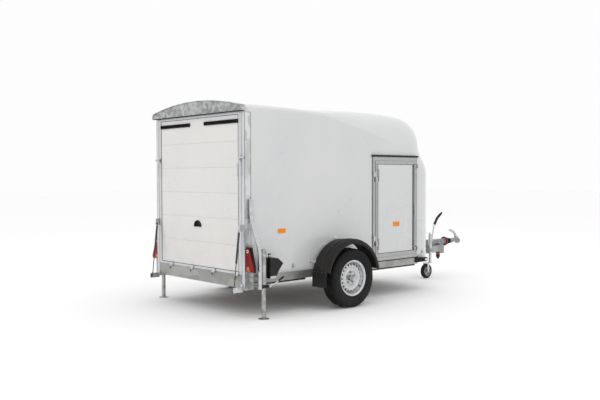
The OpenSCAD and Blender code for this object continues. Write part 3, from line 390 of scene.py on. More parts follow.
JOCKEY_GREY = painted_finish("jockey_grey", (0.33, 0.34, 0.35, 1.0), 0.4, 0.3, 0.2, 0.3)
RED_PAINT = painted_finish("red_paint", (0.55, 0.02, 0.015, 1.0), 0.3, 0.0, 0.6, 0.2)
# glow 0.03: the tail lamps' lenses give a faint light of their own, and on the round red reflectors this is
# a painted glow.
LENS_RED = lens_finish("lens_red", (0.36, 0.002, 0.003, 1.0), (0.20, 0.001, 0.001, 1.0), glow=0.03,
                       coat=0.15)
LENS_AMBER = lens_finish("lens_amber", (0.75, 0.18, 0.01, 1.0), (0.45, 0.07, 0.003, 1.0), glow=0.05)
LENS_CLEAR = lens_finish("lens_clear", (0.88, 0.88, 0.88, 1.0), (0.55, 0.56, 0.57, 1.0))
# The amber reflectors' lenses glow (strength 0.25) though they are no lamps: a painted glow standing in for
# the light they send back.
REFLEX_AMBER = lens_finish("reflex_amber", (0.80, 0.24, 0.0, 1.0), (0.62, 0.17, 0.0, 1.0), 320.0, 0.25,
                           0.08)
FLOOR_PLY = floor_ply_finish()

SLOT_FINISH = {
    "galvanised": GALVANISED, "aluminium": ALU_UPRIGHT, "white_gelcoat": GELCOAT,
    "floor_ply": FLOOR_PLY, "black_plastic": BLACK, "lamp_lens": LENS_RED,
    "black_rubber": SEAL_RUBBER, "zinc_plate": ZINC, "cast_housing": CAST,
    "strut_rod": STRUT_BLACK, "strut_black": STRUT_BLACK, "axle_black": AXLE_BLACK,
    "rim_silver": RIM_SILVER, "tyre_rubber": TYRE, "jockey_hub": JOCKEY_GREY,
}


# ---------------------------------------------------------------- shaping tools
# Lengths are millimetres, and y runs forward from the rear face of the body.

def at(x, y, z):
    return Vector((x * MM, REAR + y * MM, z * MM))


def block(bm, a, b):
    """A box between two corners."""
    low, high = at(*a), at(*b)
    corner = [bm.verts.new((x, y, z)) for x in (low.x, high.x) for y in (low.y, high.y)
              for z in (low.z, high.z)]
    for face in ((0, 1, 3, 2), (4, 6, 7, 5), (0, 4, 5, 1), (2, 3, 7, 6), (0, 2, 6, 4), (1, 5, 7, 3)):
        bm.faces.new([corner[i] for i in face])


def loft(bm, rings, cap=True, loop=False):
    """Joins rings of points by quads; cap closes both ends, loop joins the last ring to the first."""
    made = [[bm.verts.new(p) for p in ring] for ring in rings]
    count = len(made[0])
    pairs = list(zip(made, made[1:])) + ([(made[-1], made[0])] if loop else [])
    for one, two in pairs:
        for k in range(count):
            m = (k + 1) % count
            bm.faces.new((one[k], one[m], two[m], two[k]))
    if cap and not loop:
        bm.faces.new(list(reversed(made[0])))
        bm.faces.new(made[-1])
    return made


def circle(centre, u, v, radius, sides):
    return [centre + (u * math.cos(math.tau * k / sides) + v * math.sin(math.tau * k / sides)) * radius
            for k in range(sides)]


def tube(bm, points, radius, sides=20, radii=None):
    """A round bar along points in metres; radii gives one radius a point, in millimetres."""
    heading = (points[1] - points[0]).normalized()
    side = heading.orthogonal().normalized()
    rings = []
    for k, point in enumerate(points):
        ahead = points[min(k + 1, len(points) - 1)] - points[max(k - 1, 0)]
        turn = heading.rotation_difference(ahead.normalized())
        heading = ahead.normalized()
        side = (turn @ side).normalized()
        size = (radii[k] if radii else radius) * MM
        rings.append(circle(point, side, heading.cross(side), size, sides))
    loft(bm, rings)


def curve_through(points, steps=8):
    """A smooth run of points through the given ones."""
    ends = [points[0] * 2 - points[1]] + list(points) + [points[-1] * 2 - points[-2]]
    run = []
    for k in range(1, len(ends) - 2):
        a, b, c, d = ends[k - 1:k + 3]
        for s in range(steps):
            t = s / steps
            run.append(0.5 * ((2 * b) + (c - a) * t + (2 * a - 5 * b + 4 * c - d) * t * t
                              + (3 * b - a - 3 * c + d) * t ** 3))
    run.append(points[-1].copy())
    return run


def soft_bends(points, radius, steps=6):
    """The points in millimetres, with each inner corner rounded; returns metres."""
    p = [at(*q) for q in points]
    run = [p[0]]
    for a, b, c in zip(p, p[1:], p[2:]):
        back, on = (a - b), (c - b)
        cut = min(radius * MM, back.length * 0.45, on.length * 0.45)
        start, end = b + back.normalized() * cut, b + on.normalized() * cut
        for s in range(steps + 1):
            t = s / steps
            run.append(start * (1 - t) ** 2 + b * 2 * t * (1 - t) + end * t * t)
    run.append(p[-1])
    return run


AXES = {"x": (Vector((1, 0, 0)), Vector((0, 1, 0)), Vector((0, 0, 1))),
        "y": (Vector((0, 1, 0)), Vector((0, 0, 1)), Vector((1, 0, 0))),
        "z": (Vector((0, 0, 1)), Vector((1, 0, 0)), Vector((0, 1, 0)))}


def turned(bm, centre, axis, profile, sides=64, closed=False):
    """Turns (radius, along) points about an axis; a closed profile makes a ring."""
    along, u, v = AXES[axis]
    rings = []
    for k in range(sides):
        out = u * math.cos(math.tau * k / sides) + v * math.sin(math.tau * k / sides)
        rings.append([centre + (out * r + along * d) * MM for r, d in profile])
    count = len(profile)
    made = [[bm.verts.new(p) for p in ring] for ring in rings]
    for k in range(sides):
        one, two = made[k], made[(k + 1) % sides]
        for j in range(count if closed else count - 1):
            m = (j + 1) % count
            bm.faces.new((one[j], one[m], two[m], two[j]))
    if not closed:
        bmesh.ops.remove_doubles(bm, verts=[v for ring in made for v in (ring[0], ring[-1])], dist=1e-7)


def slab(bm, outline, axis, low, high):
    """A flat outline pushed along an axis: x takes (y, z) points, y takes (x, z), z takes (x, y)."""
    def spot(p, d):
        return {"x": lambda: at(d, p[0], p[1]), "y": lambda: at(p[0], d, p[1]),
                "z": lambda: at(p[0], p[1], d)}[axis]()
    loft(bm, [[spot(p, low) for p in outline], [spot(p, high) for p in outline]])


def rounded_outline(points, radius, steps=5):
    """A closed outline with its corners rounded."""
    made = []
    for k, b in enumerate(points):
        a, c = Vector(points[k - 1]), Vector(points[(k + 1) % len(points)])
        b = Vector(b)
        r = radius[k] if isinstance(radius, (list, tuple)) else radius
        cut = min(r, (a - b).length * 0.48, (c - b).length * 0.48)
        start, end = b + (a - b).normalized() * cut, b + (c - b).normalized() * cut
        for s in range(steps + 1):
            t = s / steps
            made.append(tuple(start * (1 - t) ** 2 + b * 2 * t * (1 - t) + end * t * t))
    return made


def mirrored(bm):
    """Adds the left-hand copy of everything drawn so far."""
    copy = bmesh.ops.duplicate(bm, geom=bm.verts[:] + bm.edges[:] + bm.faces[:])["geom"]
    for part in copy:
        if isinstance(part, bmesh.types.BMVert):
            part.co.x = -part.co.x


def fit(name, bm, body, finish, replaces=(), side="right", rounding=0.0, sharp=35.0, turns=2,
        outward=True):
    """Makes the drawn shape into a piece that rides on a body."""
    if side == "both":
        mirrored(bm)
    elif side == "left":
        for vert in bm.verts:
            vert.co.x = -vert.co.x
    if outward:
        bmesh.ops.recalc_face_normals(bm, faces=bm.faces[:])
    mesh = bpy.data.meshes.new(name)
    bm.to_mesh(mesh)
    bm.free()
    mesh.shade_smooth()
    mesh.set_sharp_from_angle(angle=math.radians(sharp))
    piece = bpy.data.objects.new(name, mesh)
    bpy.context.scene.collection.objects.link(piece)
    mesh.materials.append(finish)
    if rounding:
        soft = piece.modifiers.new("rounded edges", "BEVEL")
        soft.width = rounding * MM
        soft.segments = turns
        soft.limit_method = "ANGLE"
        soft.angle_limit = math.radians(sharp)
        soft.harden_normals = True
    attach(piece, body)
    if replaces:
        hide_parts(*replaces)
    return piece


def baked(piece):
    """Applies a piece's modifiers to its mesh."""
    graph = bpy.context.evaluated_depsgraph_get()
    mesh = bpy.data.meshes.new_from_object(piece.evaluated_get(graph))
    piece.modifiers.clear()
    piece.data = mesh
    return piece


def carve(piece, cutter_bm):
    """Cuts a drawn shape out of a piece."""
    bmesh.ops.recalc_face_normals(cutter_bm, faces=cutter_bm.faces[:])
    mesh = bpy.data.meshes.new("cutter")
    cutter_bm.to_mesh(mesh)
    cutter_bm.free()
    cutter = bpy.data.objects.new("cutter", mesh)
    bpy.context.scene.collection.objects.link(cutter)
    cut = piece.modifiers.new("cut", "BOOLEAN")
    cut.object, cut.operation, cut.solver = cutter, "DIFFERENCE", "EXACT"
    bpy.context.view_layer.update()
    baked(piece)
    bpy.data.objects.remove(cutter)
    piece.data.set_sharp_from_angle(angle=math.radians(35))
    return piece


# ---------------------------------------------------------------- moulded body

def smooth(t):
    k = max(0.0, min(1.0, t))
    return k * k * (3 - 2 * k)


def mix(a, b, t):
    return a * (1 - t) + b * t


WALL_T, DECK, ROOF_FALL, CHIN_LOW, CHIN_HIGH = 20.0, 424.0, 90.0, 1460.0, 1790.0
DOOR_OPEN = (1910.0, 2635.0, 469.0, 1605.0)  # rear, front, low and high edge of the door's hole


def roof_height(x, y):
    return (CROWN - ROOF_FALL * (x / HALF_W) ** 2 - 16 * math.exp(-((y - 1150) / 380) ** 2)
            - 40 * smooth((y - 2200) / 1000))


def shoulder_start(y):
    return max(1795.0, min(CROWN - ROOF_FALL - 55, CROWN - 82 - 0.235 * (y - 900)))


def shoulder_depth(y):
    return mix(60, 390, smooth((y - 850) / 1500))


def crease_share(y):
    return 0.30 * smooth((y - 900) / 350) * (1 - 0.75 * smooth((y - 1900) / 600))


def wall_columns():
    """Where the skin's columns stand: along the side, at the bend, round the corner, across the nose."""
    side = [("side", mix(5, 1910, k / 44)) for k in range(45)]
    side += [("side", mix(1910, 2635, k / 16)) for k in range(1, 17)]
    side += [("bend", k / 4) for k in range(1, 4)]
    side += [("corner", 90 * k / 22) for k in range(23)]
    return side + [("front", k / 12) for k in range(1, 13)]


def wall_plan(column, back):
    """Plan point of a column; back is 0 for the lower nose and 1 for the set-back upper nose."""
    kind, value = column
    radius, front, end = 350 + 100 * back, 3090 - 100 * back, 2740 - 200 * back
    door_end = min(2635.0, end - 15)
    if kind == "side":
        y = value if value <= 1910 else 1910 + (value - 1910) * (door_end - 1910) / 725
        return HALF_W, y
    if kind == "bend":
        return HALF_W, mix(door_end, end, value)
    if kind == "corner":
        a = math.radians(value)
        return HALF_W - radius + radius * math.cos(a), end + radius * math.sin(a)
    x = (HALF_W - radius) * (1 - value)
    return x, front + 40 * (1 - (x / (HALF_W - radius)) ** 2)


def skin_column(index, column):
    """One column of the skin, from its lower edge over the shoulder to the ridge."""
    kind, value = column
    turned_in = value / 30 if kind == "corner" else (1.0 if kind == "front" else 0.0)
    low = mix(DECK, DECK - 50, smooth(turned_in))
    top = Vector(wall_plan(column, 1.0))
    start = max(shoulder_start(top.y), CHIN_HIGH + 8)
    heights = [low, 469, 540, 640, 760, 900, 1040, 1180, 1320, 1400, CHIN_LOW, 1485, 1510, 1540, 1570, 1605,
               1640, 1680, 1720, 1755, CHIN_HIGH]
    heights += [mix(CHIN_HIGH, start - 4, k / 5) for k in range(1, 6)] + [start]
    points = []
    for z in heights:
        x, y = wall_plan(column, smooth((z - CHIN_LOW) / (CHIN_HIGH - CHIN_LOW)))
        points.append((x, y, z))
    ridge = Vector((0, top.y if kind in ("side", "bend") else 2540 + 0.8 * (index - 64)))
    inward = (ridge - top).normalized()
    depth, share = shoulder_depth(top.y), crease_share(top.y)
    knee, edge = top + inward * depth * share, top + inward * depth
    a = Vector((top.x, top.y, start))
    b = Vector((knee.x, knee.y, roof_height(*knee)))
    c = Vector((edge.x, edge.y, roof_height(*edge)))
    for k in range(1, 19):
        t = k / 18
        points.append(tuple(a * (1 - t) ** 2 + b * 2 * t * (1 - t) + c * t * t))
    for k in range(1, 15):
        p = edge + (ridge - edge) * (k / 14)
        points.append((p.x, p.y, roof_height(*p)))
    return points


def body_skin():
    """The whole moulded body, with the side door's hole left open."""
    bm = bmesh.new()
    columns = wall_columns()
    grid = [skin_column(i, c) for i, c in enumerate(columns)]
    rear, front, low, high = DOOR_OPEN
    for side in (1, -1):
        made = [[bm.verts.new(at(side * x, y, z)) for x, y, z in run] for run in grid]
        for i in range(len(grid) - 1):
            for j in range(len(grid[0]) - 1):
                here, there = grid[i][j], grid[i + 1][j + 1]
                if (side > 0 and rear - 1 < here[1] and there[1] < front + 1
                        and low - 1 < here[2] and there[2] < high + 1 and columns[i + 1][0] == "side"):
                    continue
                quad = (made[i][j], made[i + 1][j], made[i + 1][j + 1], made[i][j + 1])
                bm.faces.new(quad if side > 0 else tuple(reversed(quad)))
    bmesh.ops.remove_doubles(bm, verts=bm.verts[:], dist=2e-5)
    shell = fit("moulded_body", bm, "base", GELCOAT, ["body_shell"], sharp=50,
                outward=False)
    wall = shell.modifiers.new("wall", "SOLIDIFY")
    wall.thickness = WALL_T * MM
    wall.offset = -1.0
    return shell


body_skin()


# ---------------------------------------------------------------- rear end

def roof_hood():
    """The arched galvanised cover over the ramp's head."""
    low, end, r = 2071.0, HALF_W + 16, 34.0

    def face(inset):
        top = [(x, CROWN + 6 - ROOF_FALL * (x / HALF_W) ** 2 - inset)
               for x in [mix(-end + r, end - r, k / 60) for k in range(61)]]
        z = top[-1][1] - r
        e = end - inset
        right = [(e - r + r * math.cos(a), z + r * math.sin(a))
                 for a in [math.radians(90 - 10 * k) for k in range(1, 10)]]
        left = [(-x, h) for x, h in reversed(right)]
        return left + top + right + [(e, low + inset), (-e, low + inset)]
    bm = bmesh.new()
    rings = [(5, 0), (-44, 0), (-48, 1.2), (-50, 4), (-50, 9), (-47.5, 10.5), (-40, 10.5)]
    loft(bm, [[at(x, y, z) for x, z in face(inset)] for y, inset in rings])
    fit("roof_hood", bm, "base", GALVANISED_HOOD, ["rear_hood"], sharp=40)
    bm = bmesh.new()
    lip = [at(x, -51, CROWN + 1.5 - ROOF_FALL * (x / HALF_W) ** 2)
           for x in [mix(-end + 26, end - 26, k / 60) for k in range(61)]]
    tube(bm, lip, 2.2, 8)
    fit("hood_bead", bm, "base", GALVANISED_HOOD)
    bm = bmesh.new()
    block(bm, (-end + 4, -46, low - 5), (end - 4, 2, low - 0.5))
    fit("hood_seal", bm, "base", SEAL_RUBBER, rounding=1.5)


def post_leaves():
    """The galvanised side leaves of the rear posts, edged by a rubber seal."""
    x, top, front = HALF_W + 3.2, 2056.0, 74.0
    shape = rounded_outline([(3, 290), (front, 290), (front, top), (3, top)], [2, 2, 26, 6], 8)
    bm = bmesh.new()
    slab(bm, shape, "x", x, x + 1.4)
    fit("post_leaves", bm, "base", POST_ZINC, side="both", rounding=0.4, turns=1)
    bm = bmesh.new()
    run = [at(x + 0.6, 1.5, 300), at(x + 0.6, 1.5, top - 8), at(x + 0.6, 10, top + 1.5)]
    run += [at(x + 0.6, y, z + 1.2) for y, z in rounded_outline(
        [(60, top), (front + 1.5, top), (front + 1.5, top - 40)], 26, 8)[6:-6]]
    run += [at(x + 0.6, front + 2, top - 50), at(x + 0.6, front + 2, 430)]
    tube(bm, run, 2.0, 8)
    fit("post_seals", bm, "base", SEAL_RUBBER, side="both")


RAMP_IN, RAMP_LOW, RAMP_HIGH = 713.0, 465.0, 2038.0  # the panel's half width, low and high edge


def ramp_planks():
    """The ramp's white boards, meeting in shallow grooves, with the grip's recess cut out."""
    shape = [(32, RAMP_LOW), (2, RAMP_LOW)]
    for seam in (727, 989, 1251, 1513, 1775):
        shape += [(2, seam - 3.2), (2.5, seam - 1.6), (5.5, seam - 0.9), (5.5, seam + 0.9),
                  (2.5, seam + 1.6),
                  (2, seam + 3.2)]
    shape += [(2, RAMP_HIGH), (32, RAMP_HIGH)]
    bm = bmesh.new()
    slab(bm, shape, "x", -RAMP_IN, RAMP_IN)
    cut = bmesh.new()
    half = [(-67, 883), (67, 883)] + [(67 * math.cos(a), 886 + 67 * math.sin(a))
                                     for a in [math.pi * k / 24 for k in range(25)]]
    slab(cut, half, "y", -5, 21.5)
    carve(fit("ramp_planks", bm, "ramp", RAMP_WHITE, ["ramp_panel"], sharp=25), cut)


def ramp_treads():
    """Cross battens and the rubber mat on the ramp's inner face."""
    bm = bmesh.new()
    block(bm, (-690, 32, 490), (690, 35, 2010))
    fit("ramp_mat", bm, "ramp", SEAL_RUBBER, rounding=1.0)
    bm = bmesh.new()
    for k in range(7):
        z = 560 + 220 * k
        slab(bm, rounded_outline([(34, z), (43, z + 6), (43, z + 26), (34, z + 32)], 3, 3), "x", -670, 670)
    fit("ramp_battens", bm, "ramp", ALU_ACROSS, rounding=0.8)


def frame_band(bm, half, low, high, width, near, far):
    """A thin rectangular band in the ramp's plane."""
    outer = [(-half, low), (half, low), (half, high), (-half, high)]
    w = width
    inner = [(-half + w, low + w), (half - w, low + w), (half - w, high - w), (-half + w, high - w)]
    rings = [[at(x, y, z) for x, z in shape] for y, shape in ((far, outer), (near, outer), (near, inner),
                                                              (far, inner))]
    loft(bm, rings, cap=False, loop=True)


def ramp_gaskets():
    """Dark seals round the boards and between the ramp and its posts."""
    bm = bmesh.new()
    frame_band(bm, RAMP_IN + 3, RAMP_LOW - 3, RAMP_HIGH + 3, 5, -0.9, 3)
    fit("ramp_board_seal", bm, "ramp", SEAL_RUBBER)
    bm = bmesh.new()
    frame_band(bm, 770, 433, 2070, 4.2, 1, 8)
    fit("ramp_outer_seal", bm, "base", SEAL_RUBBER)


def ramp_beads():
    """Raised beads and rivets on the ramp's aluminium edge profiles."""
    bm = bmesh.new()
    for x in (733, 752):
        slab(bm, rounded_outline([(x - 2, 0.5), (x - 1.6, -1.3), (x + 1.6, -1.3), (x + 2, 0.5)], 0.8, 2),
             "z", 440, 2064)
    fit("ramp_beads", bm, "ramp", ALU_UPRIGHT, side="both")
    bm = bmesh.new()
    for k in range(9):
        turned(bm, at(722, 0.2, 520 + 182 * k), "y", [(0, -1.7), (2.2, -1.5), (4, -0.4), (4.2, 0.3),
                                                      (0, 0.3)], 12)
    fit("ramp_rivets", bm, "ramp", ZINC, side="both")


def ramp_vent_grilles():
    """Two long black vents below the ramp's top edge, with slanted louvres."""
    bm = bmesh.new()
    for side in (1, -1):
        near, far, low, high = 134, 711, 1954, 1994
        ring = rounded_outline([(near, low), (far, low), (far, high), (near, high)], 7, 5)
        inner = rounded_outline([(near + 6, low + 6), (far - 6, low + 6), (far - 6, high - 6),
                                 (near + 6, high - 6)], 4, 5)
        rings = [[at(side * x, y, z) for x, z in shape] for y, shape in
                 ((2, ring), (-9, ring), (-12, [(mix(a[0], b[0], 0.3), mix(a[1], b[1], 0.3))
                                              for a, b in zip(ring, inner)]), (-11, inner), (-3, inner),
                  (2, inner))]
        loft(bm, rings, cap=False, loop=True)
        for k in range(3):
            z = low + 8 + 9 * k
            slab(bm, [(-10, z - 1), (-9, z), (-1, z + 8), (-2, z + 6)], "x",
                 *sorted((side * (near + 5), side * (far - 5))))
        for x in (near + 120, near + 290, far - 120):
            block(bm, (side * x - 1.5, -9.5, low + 5), (side * x + 1.5, -1, high - 5))
        block(bm, (side * near + side * 4, -2.5, low + 4), (side * far - side * 4, 1.8, high - 4))
    fit("ramp_vent_grilles", bm, "ramp", SMOOTH_BLACK, ["ramp_vents"], rounding=0.5,
        turns=1)


def ramp_grip_bowl():
    """The half-round recessed grip in the ramp."""
    bm = bmesh.new()
    profile = [(67, 1.5), (66.5, -5.5), (64, -8), (60, -8), (58.5, -6), (57.5, 2), (54, 14), (46, 18),
               (0, 19),
               (0, 21), (66, 21)]
    rings = []
    for k in range(33):
        a = math.pi * k / 32
        rings.append([at(r * math.cos(a), y, 886 + r * math.sin(a)) for r, y in profile])
    loft(bm, rings)
    slab(bm, rounded_outline([(1.5, 884), (-6, 884), (-8, 886), (-8, 889), (-5, 892), (1.5, 892)], 2, 3),
         "x", -66.5, 66.5)
    block(bm, (-64, 14, 884), (64, 21, 888))
    fit("ramp_grip_bowl", bm, "ramp", SMOOTH_BLACK, ["ramp_pull_cup"], sharp=40)


def tail_lamps():
    """Three-window tail lamps on black backing plates, behind their guards."""
    left, low, high = HALF_W + 8, 474.0, 712.0
    edge = [(left, low), (left + 124, low), (left + 124, low + 40), (left + 46, high), (left, high)]
    back = [(left - 3, low - 3), (left + 127, low - 3), (left + 127, low + 62), (left + 72, high + 3),
            (left - 3, high + 3)]
    bm = bmesh.new()
    slab(bm, rounded_outline(back, 10, 5), "y", 23, 36)
    slab(bm, rounded_outline(edge, 9, 5), "y", 16, 24)
    fit("lamp_backs", bm, "base", SMOOTH_BLACK, ["lamp_housings"], side="both",
        rounding=1.2)

    def window(shape, radius, near, deep=17):
        made = bmesh.new()
        shape = rounded_outline(shape, radius, 5)
        slab(made, shape, "y", near, deep)
        return made
    bm = window([(left + 3, low + 3), (left + 121, low + 3), (left + 121, low + 39), (left + 44, high - 3),
                 (left + 3, high - 3)], 7, 9.5)
    fit("lamp_red", bm, "base", LENS_RED, ["lamp_lenses"], side="both", rounding=2.0, turns=3)
    bm = window([(left + 7, low + 7), (left + 55, low + 7), (left + 50, low + 52), (left + 7, low + 52)],
                8, 8.2)
    fit("lamp_amber", bm, "base", LENS_AMBER, side="both", rounding=1.5, turns=3)
    bm = bmesh.new()
    turned(bm, at(left + 25, 9.5, high - 34), "y", [(17, 0), (17, -1.6), (15, -2.2), (9, -2.2),
                                                    (8, -1.2), (8, 0)], 40,
           closed=True)
    fit("lamp_clear", bm, "base", LENS_CLEAR, side="both", sharp=50)
    # The round red reflector takes the red lens finish with its faint glow, a painted glow on a part that
    # is no lamp.
    bm = bmesh.new()
    turned(bm, at(left + 93, 9.6, low + 32), "y",
           [(21, 0.5), (21, -1.2), (18.5, -1.6), (17, -0.6), (0, -1.1), (0, 0.5)], 40)
    fit("lamp_reflex", bm, "base", LENS_RED, side="both")
    bm = bmesh.new()
    for x, z in ((left + 60, low + 12), (left + 16, high - 72)):
        turned(bm, at(x, 9.3, z), "y", [(4, 0.3), (4, -0.8), (2.6, -1.4), (0, -1.4)], 14)
    fit("lamp_screws", bm, "base", ZINC, side="both")


def guard_tubes():
    """Bent galvanised tubes that shield the lamps."""
    x_wall, x_low, y_low = HALF_W + 24, HALF_W + 114, 100.7
    bm = bmesh.new()
    tube(bm, soft_bends([(x_wall, 60, 1193), (x_wall, 60, 1029), (x_low, y_low, 681),
                         (x_low, y_low, 300)], 60, 8),
         21, 32)
    fit("guard_tubes", bm, "base", ZINC, ["lamp_guards"], side="both", rounding=1.5)
    bm = bmesh.new()
    for z in (1070, 1160):
        block(bm, (HALF_W + 3, 43, z - 3), (x_wall + 4, 77, z + 3))
    for z in (330, 660):
        block(bm, (x_low - 16, y_low + 12, z - 4), (x_low + 16, y_low + 30, z + 4))
    fit("guard_tabs", bm, "base", GALVANISED, side="both", rounding=1.0)


def chock_ribs():
    """The moulded wheel chock: three full webs on a slimmer core, with its knob."""
    shape = [(228, 400.5), (300, 400.5), (318, 432), (336, 462), (358, 492), (384, 522), (400, 540),
             (330, 597),
             (228, 600)]
    centre = Vector((300, 505))
    small = [tuple(centre + (Vector(p) - centre) * 0.88) for p in shape]
    bm = bmesh.new()
    slab(bm, rounded_outline(small, 5, 3), "x", HALF_W + 16, HALF_W + 122)
    for x in (14, 63, 112):
        slab(bm, rounded_outline(shape, 6, 4), "x", HALF_W + x, HALF_W + x + 12)
    for k in range(5):
        y, z = 312 + 18 * k, 424 + 25 * k
        block(bm, (HALF_W + 15, y - 14, z - 3), (HALF_W + 123, y + 2, z + 3))
    fit("chock_body", bm, "base", BLACK, ["wheel_chock"], rounding=1.6)
    bm = bmesh.new()
    turned(bm, at(HALF_W + 64, 265, 604), "z", [(0, 0), (17, 0), (18, 4), (14, 8), (9, 12), (9, 22),
                                                (15, 27),
                                              (17, 33), (14, 38), (0, 40)], 28)
    fit("chock_knob", bm, "base", SMOOTH_BLACK)


def clamp_grips():
    """Prop clamp levers: a bright shank with a black grip."""
    for side in ("left", "right"):
        body = "prop_handle_" + side
        start, knee, tip = at(966, 194, 328), at(970, 304, 372), at(978, 369, 412)
        bm = bmesh.new()
        turned(bm, at(958.3, 194, 328), "x", [(0, 0), (12, 0), (13, 1), (13, 15), (12, 16), (0, 16)], 28)
        tube(bm, curve_through([start, start.lerp(knee, 0.5) + Vector((0, 0, -0.004)), knee,
                                knee.lerp(tip, 0.3)], 6), 6, 16)
        fit("clamp_shank_" + side, bm, body, ZINC, ["prop_lever_" + side], side=side)
        bm = bmesh.new()
        run = [knee.lerp(tip, k / 16) for k in range(17)]
        radii = [7.5, 10, 10.4] + [10.2 if k % 2 else 9.2 for k in range(3, 14)] + [10.2, 8.5, 5]
        tube(bm, run, 10, 20, radii)
        fit("clamp_grip_" + side, bm, body, SMOOTH_BLACK, side=side)


# ---------------------------------------------------------------- wheels

AXLE_Y, AXLE_Z, WHEEL_X = 1273.0, 320.0, 1002.0


def tyre_carcass(side):
    """A tyre with three rain grooves, cut shoulders and a stepped sidewall."""
    half = [(177.9, 52, 0), (177.9, 66, 0), (184, 71.5, 0), (196, 74.5, 0), (204, 77, 0), (210, 80.5, 0),
            (214, 81.5, 0),
            (217, 80.8, 0), (221, 82.6, 0), (232, 87, 0), (243, 90.3, 0), (252, 91.8, 0), (255, 92.4, 0),
            (258, 91.6, 0),
            (266, 91.2, 0), (268, 92.2, 2), (281, 91.4, 2), (283, 90.0, 0), (292, 88.2, 0),
            (298, 86.8, 1), (305, 83.8, 1),
            (311, 79.5, 1), (315, 74, 1), (317.4, 67, 1), (318.6, 60, 1), (319.2, 52, 1), (319.4, 44.5, 0)]
    crown = []
    for low, high in ((40.5, 29.5), (24.5, 4.5)):
        crown += [(319.6, low, 3), (319.9, (low + high) / 2, 3), (320.0, high, 3)]
        crown += [(312.0, high - 0.8, 0), (312.0, high - 4.2, 0)]
    del crown[-2:]
    rim_groove = [(319.4, 43.5, 0), (311.5, 43, 0), (311.5, 41, 0)]
    right = half + rim_groove + crown + [(312.0, 4.2, 0)]
    outside = right + [(r, -o, k) for r, o, k in reversed(right)]
    inside = [(177.9, -52, 0), (206, -60, 0), (262, -76, 0), (300, -62, 0), (305, 0, 0), (300, 62, 0),
              (262, 76, 0),
              (206, 60, 0)]
    loop = outside + inside
    bm = bmesh.new()
    sign = 1 if side == "right" else -1
    centre = at(WHEEL_X * sign, AXLE_Y, AXLE_Z)
    rings = []
    pitches = 66
    for k in range(pitches):
        for share, cut, fine in ((0.0, 0, 0), (0.06, 1, 0), (0.22, 1, 0), (0.28, 0, 0.7), (0.52, 0, 0.7),
                                 (0.58, 0, 0)):
            ring = []
            for r, o, kind in loop:
                lean = 0.35 * (abs(o) - 60) / 40 if kind == 1 else (0.25 * o / 40 if kind == 3 else 0)
                a = math.tau * (k + share + lean) / pitches
                depth = 6.0 * cut if kind == 1 and r > 290 else (2.5 * cut if kind == 3 else 0)
                out = fine if kind == 2 else 0
                ring.append(centre + Vector((o * sign + out * (1 if o * sign > 0 else -1),
                                             (r - depth) * math.cos(a), (r - depth) * math.sin(a))) * MM)
            rings.append(ring)
    loft(bm, rings, cap=False, loop=True)
    fit("tyre_carcass_" + side, bm, "wheel_" + side, TYRE, ["tyre_" + side], sharp=38)


def wheel_trims(side):
    """The pressed steel wheel with its ring of oval slots, the dark drum behind it and the valve."""
    sign = 1 if side == "right" else -1
    barrel = [(178, 50), (178, 66), (180, 70), (190, 71.5), (194, 74), (195.3, 78), (194, 80.6),
              (190, 81.4), (186, 79.5),
              (182, 76.5), (175, 74.5), (171.5, 70), (171, 52), (168, 44), (161, 37), (158, 30),
              (154.5, 20), (154, -30),
              (171, -48), (172, -70), (175, -74.5), (183, -76.5), (187, -79.5), (190, -81.4),
              (194, -80.6), (195.3, -78),
              (194, -74), (190, -71.5), (180, -70), (178, -66), (178, -50), (160, -34), (160, 18),
              (162, 26), (167, 34),
              (174, 41)]
    bm = bmesh.new()
    turned(bm, at(WHEEL_X, AXLE_Y, AXLE_Z), "x", barrel, 96, closed=True)
    fit("rim_barrel_" + side, bm, "wheel_" + side, RIM_SILVER, ["rim_" + side], side=side,
        sharp=40)
    dish = [(157, 20), (156.5, 30), (154, 38), (149, 44), (142, 48), (134, 50.5), (127, 51), (120, 50),
            (114, 46), (108, 41.5),
            (101, 39.5), (94, 40.5), (88, 43.5), (83, 45.5), (77, 45), (73, 41), (70, 37), (66, 35.5),
            (33, 35.5), (33, 31),
            (78, 31), (92, 36), (101, 35), (110, 37.5), (119, 45), (128, 46), (141, 43), (149, 36),
            (151.5, 28), (152, 20)]
    bm = bmesh.new()
    turned(bm, at(WHEEL_X, AXLE_Y, AXLE_Z), "x", dish, 96, closed=True)
    cut = bmesh.new()
    for k in range(20):
        a = math.tau * k / 20
        out, round_it = Vector((0, math.cos(a), math.sin(a))), Vector((0, -math.sin(a), math.cos(a)))
        spot = at(WHEEL_X, AXLE_Y, AXLE_Z) + out * 0.1430
        oval = [spot + (out * (0.0112 * math.cos(c)) + round_it * (0.0108 * math.sin(c)))
                for c in [math.tau * n / 20 for n in range(20)]]
        loft(cut, [[p + Vector((x, 0, 0)) for p in oval] for x in (0.012, 0.07)])
    for k in range(5):
        a = math.tau * k / 5
        turned(cut, at(WHEEL_X, AXLE_Y - 56 * math.sin(a), AXLE_Z + 56 * math.cos(a)), "x",
               [(0, 20), (7, 20), (7, 50), (0, 50)], 16)
    for vert in cut.verts:
        vert.co.x *= sign
    piece = fit("rim_dish_" + side, bm, "wheel_" + side, RIM_SILVER, side=side, sharp=40)
    carve(piece, cut)
    bm = bmesh.new()
    drum = [(60, -40), (140, -40), (148, -36), (153.3, -26), (153.3, 24), (150, 27), (140, 28),
            (110, 26), (84, 24), (60, 24)]
    turned(bm, at(WHEEL_X, AXLE_Y, AXLE_Z), "x", drum, 72, closed=True)
    fit("brake_drum_" + side, bm, "wheel_" + side, AXLE_BLACK, side=side)
    bm = bmesh.new()
    tube(bm, [at(WHEEL_X + 40, AXLE_Y + 124, AXLE_Z - 94), at(WHEEL_X + 58, AXLE_Y + 130, AXLE_Z - 99),
              at(WHEEL_X + 70, AXLE_Y + 131, AXLE_Z - 100)], 4, 14, [5.5, 4.4, 3.6])
    fit("wheel_valve_" + side, bm, "wheel_" + side, SMOOTH_BLACK, side=side)


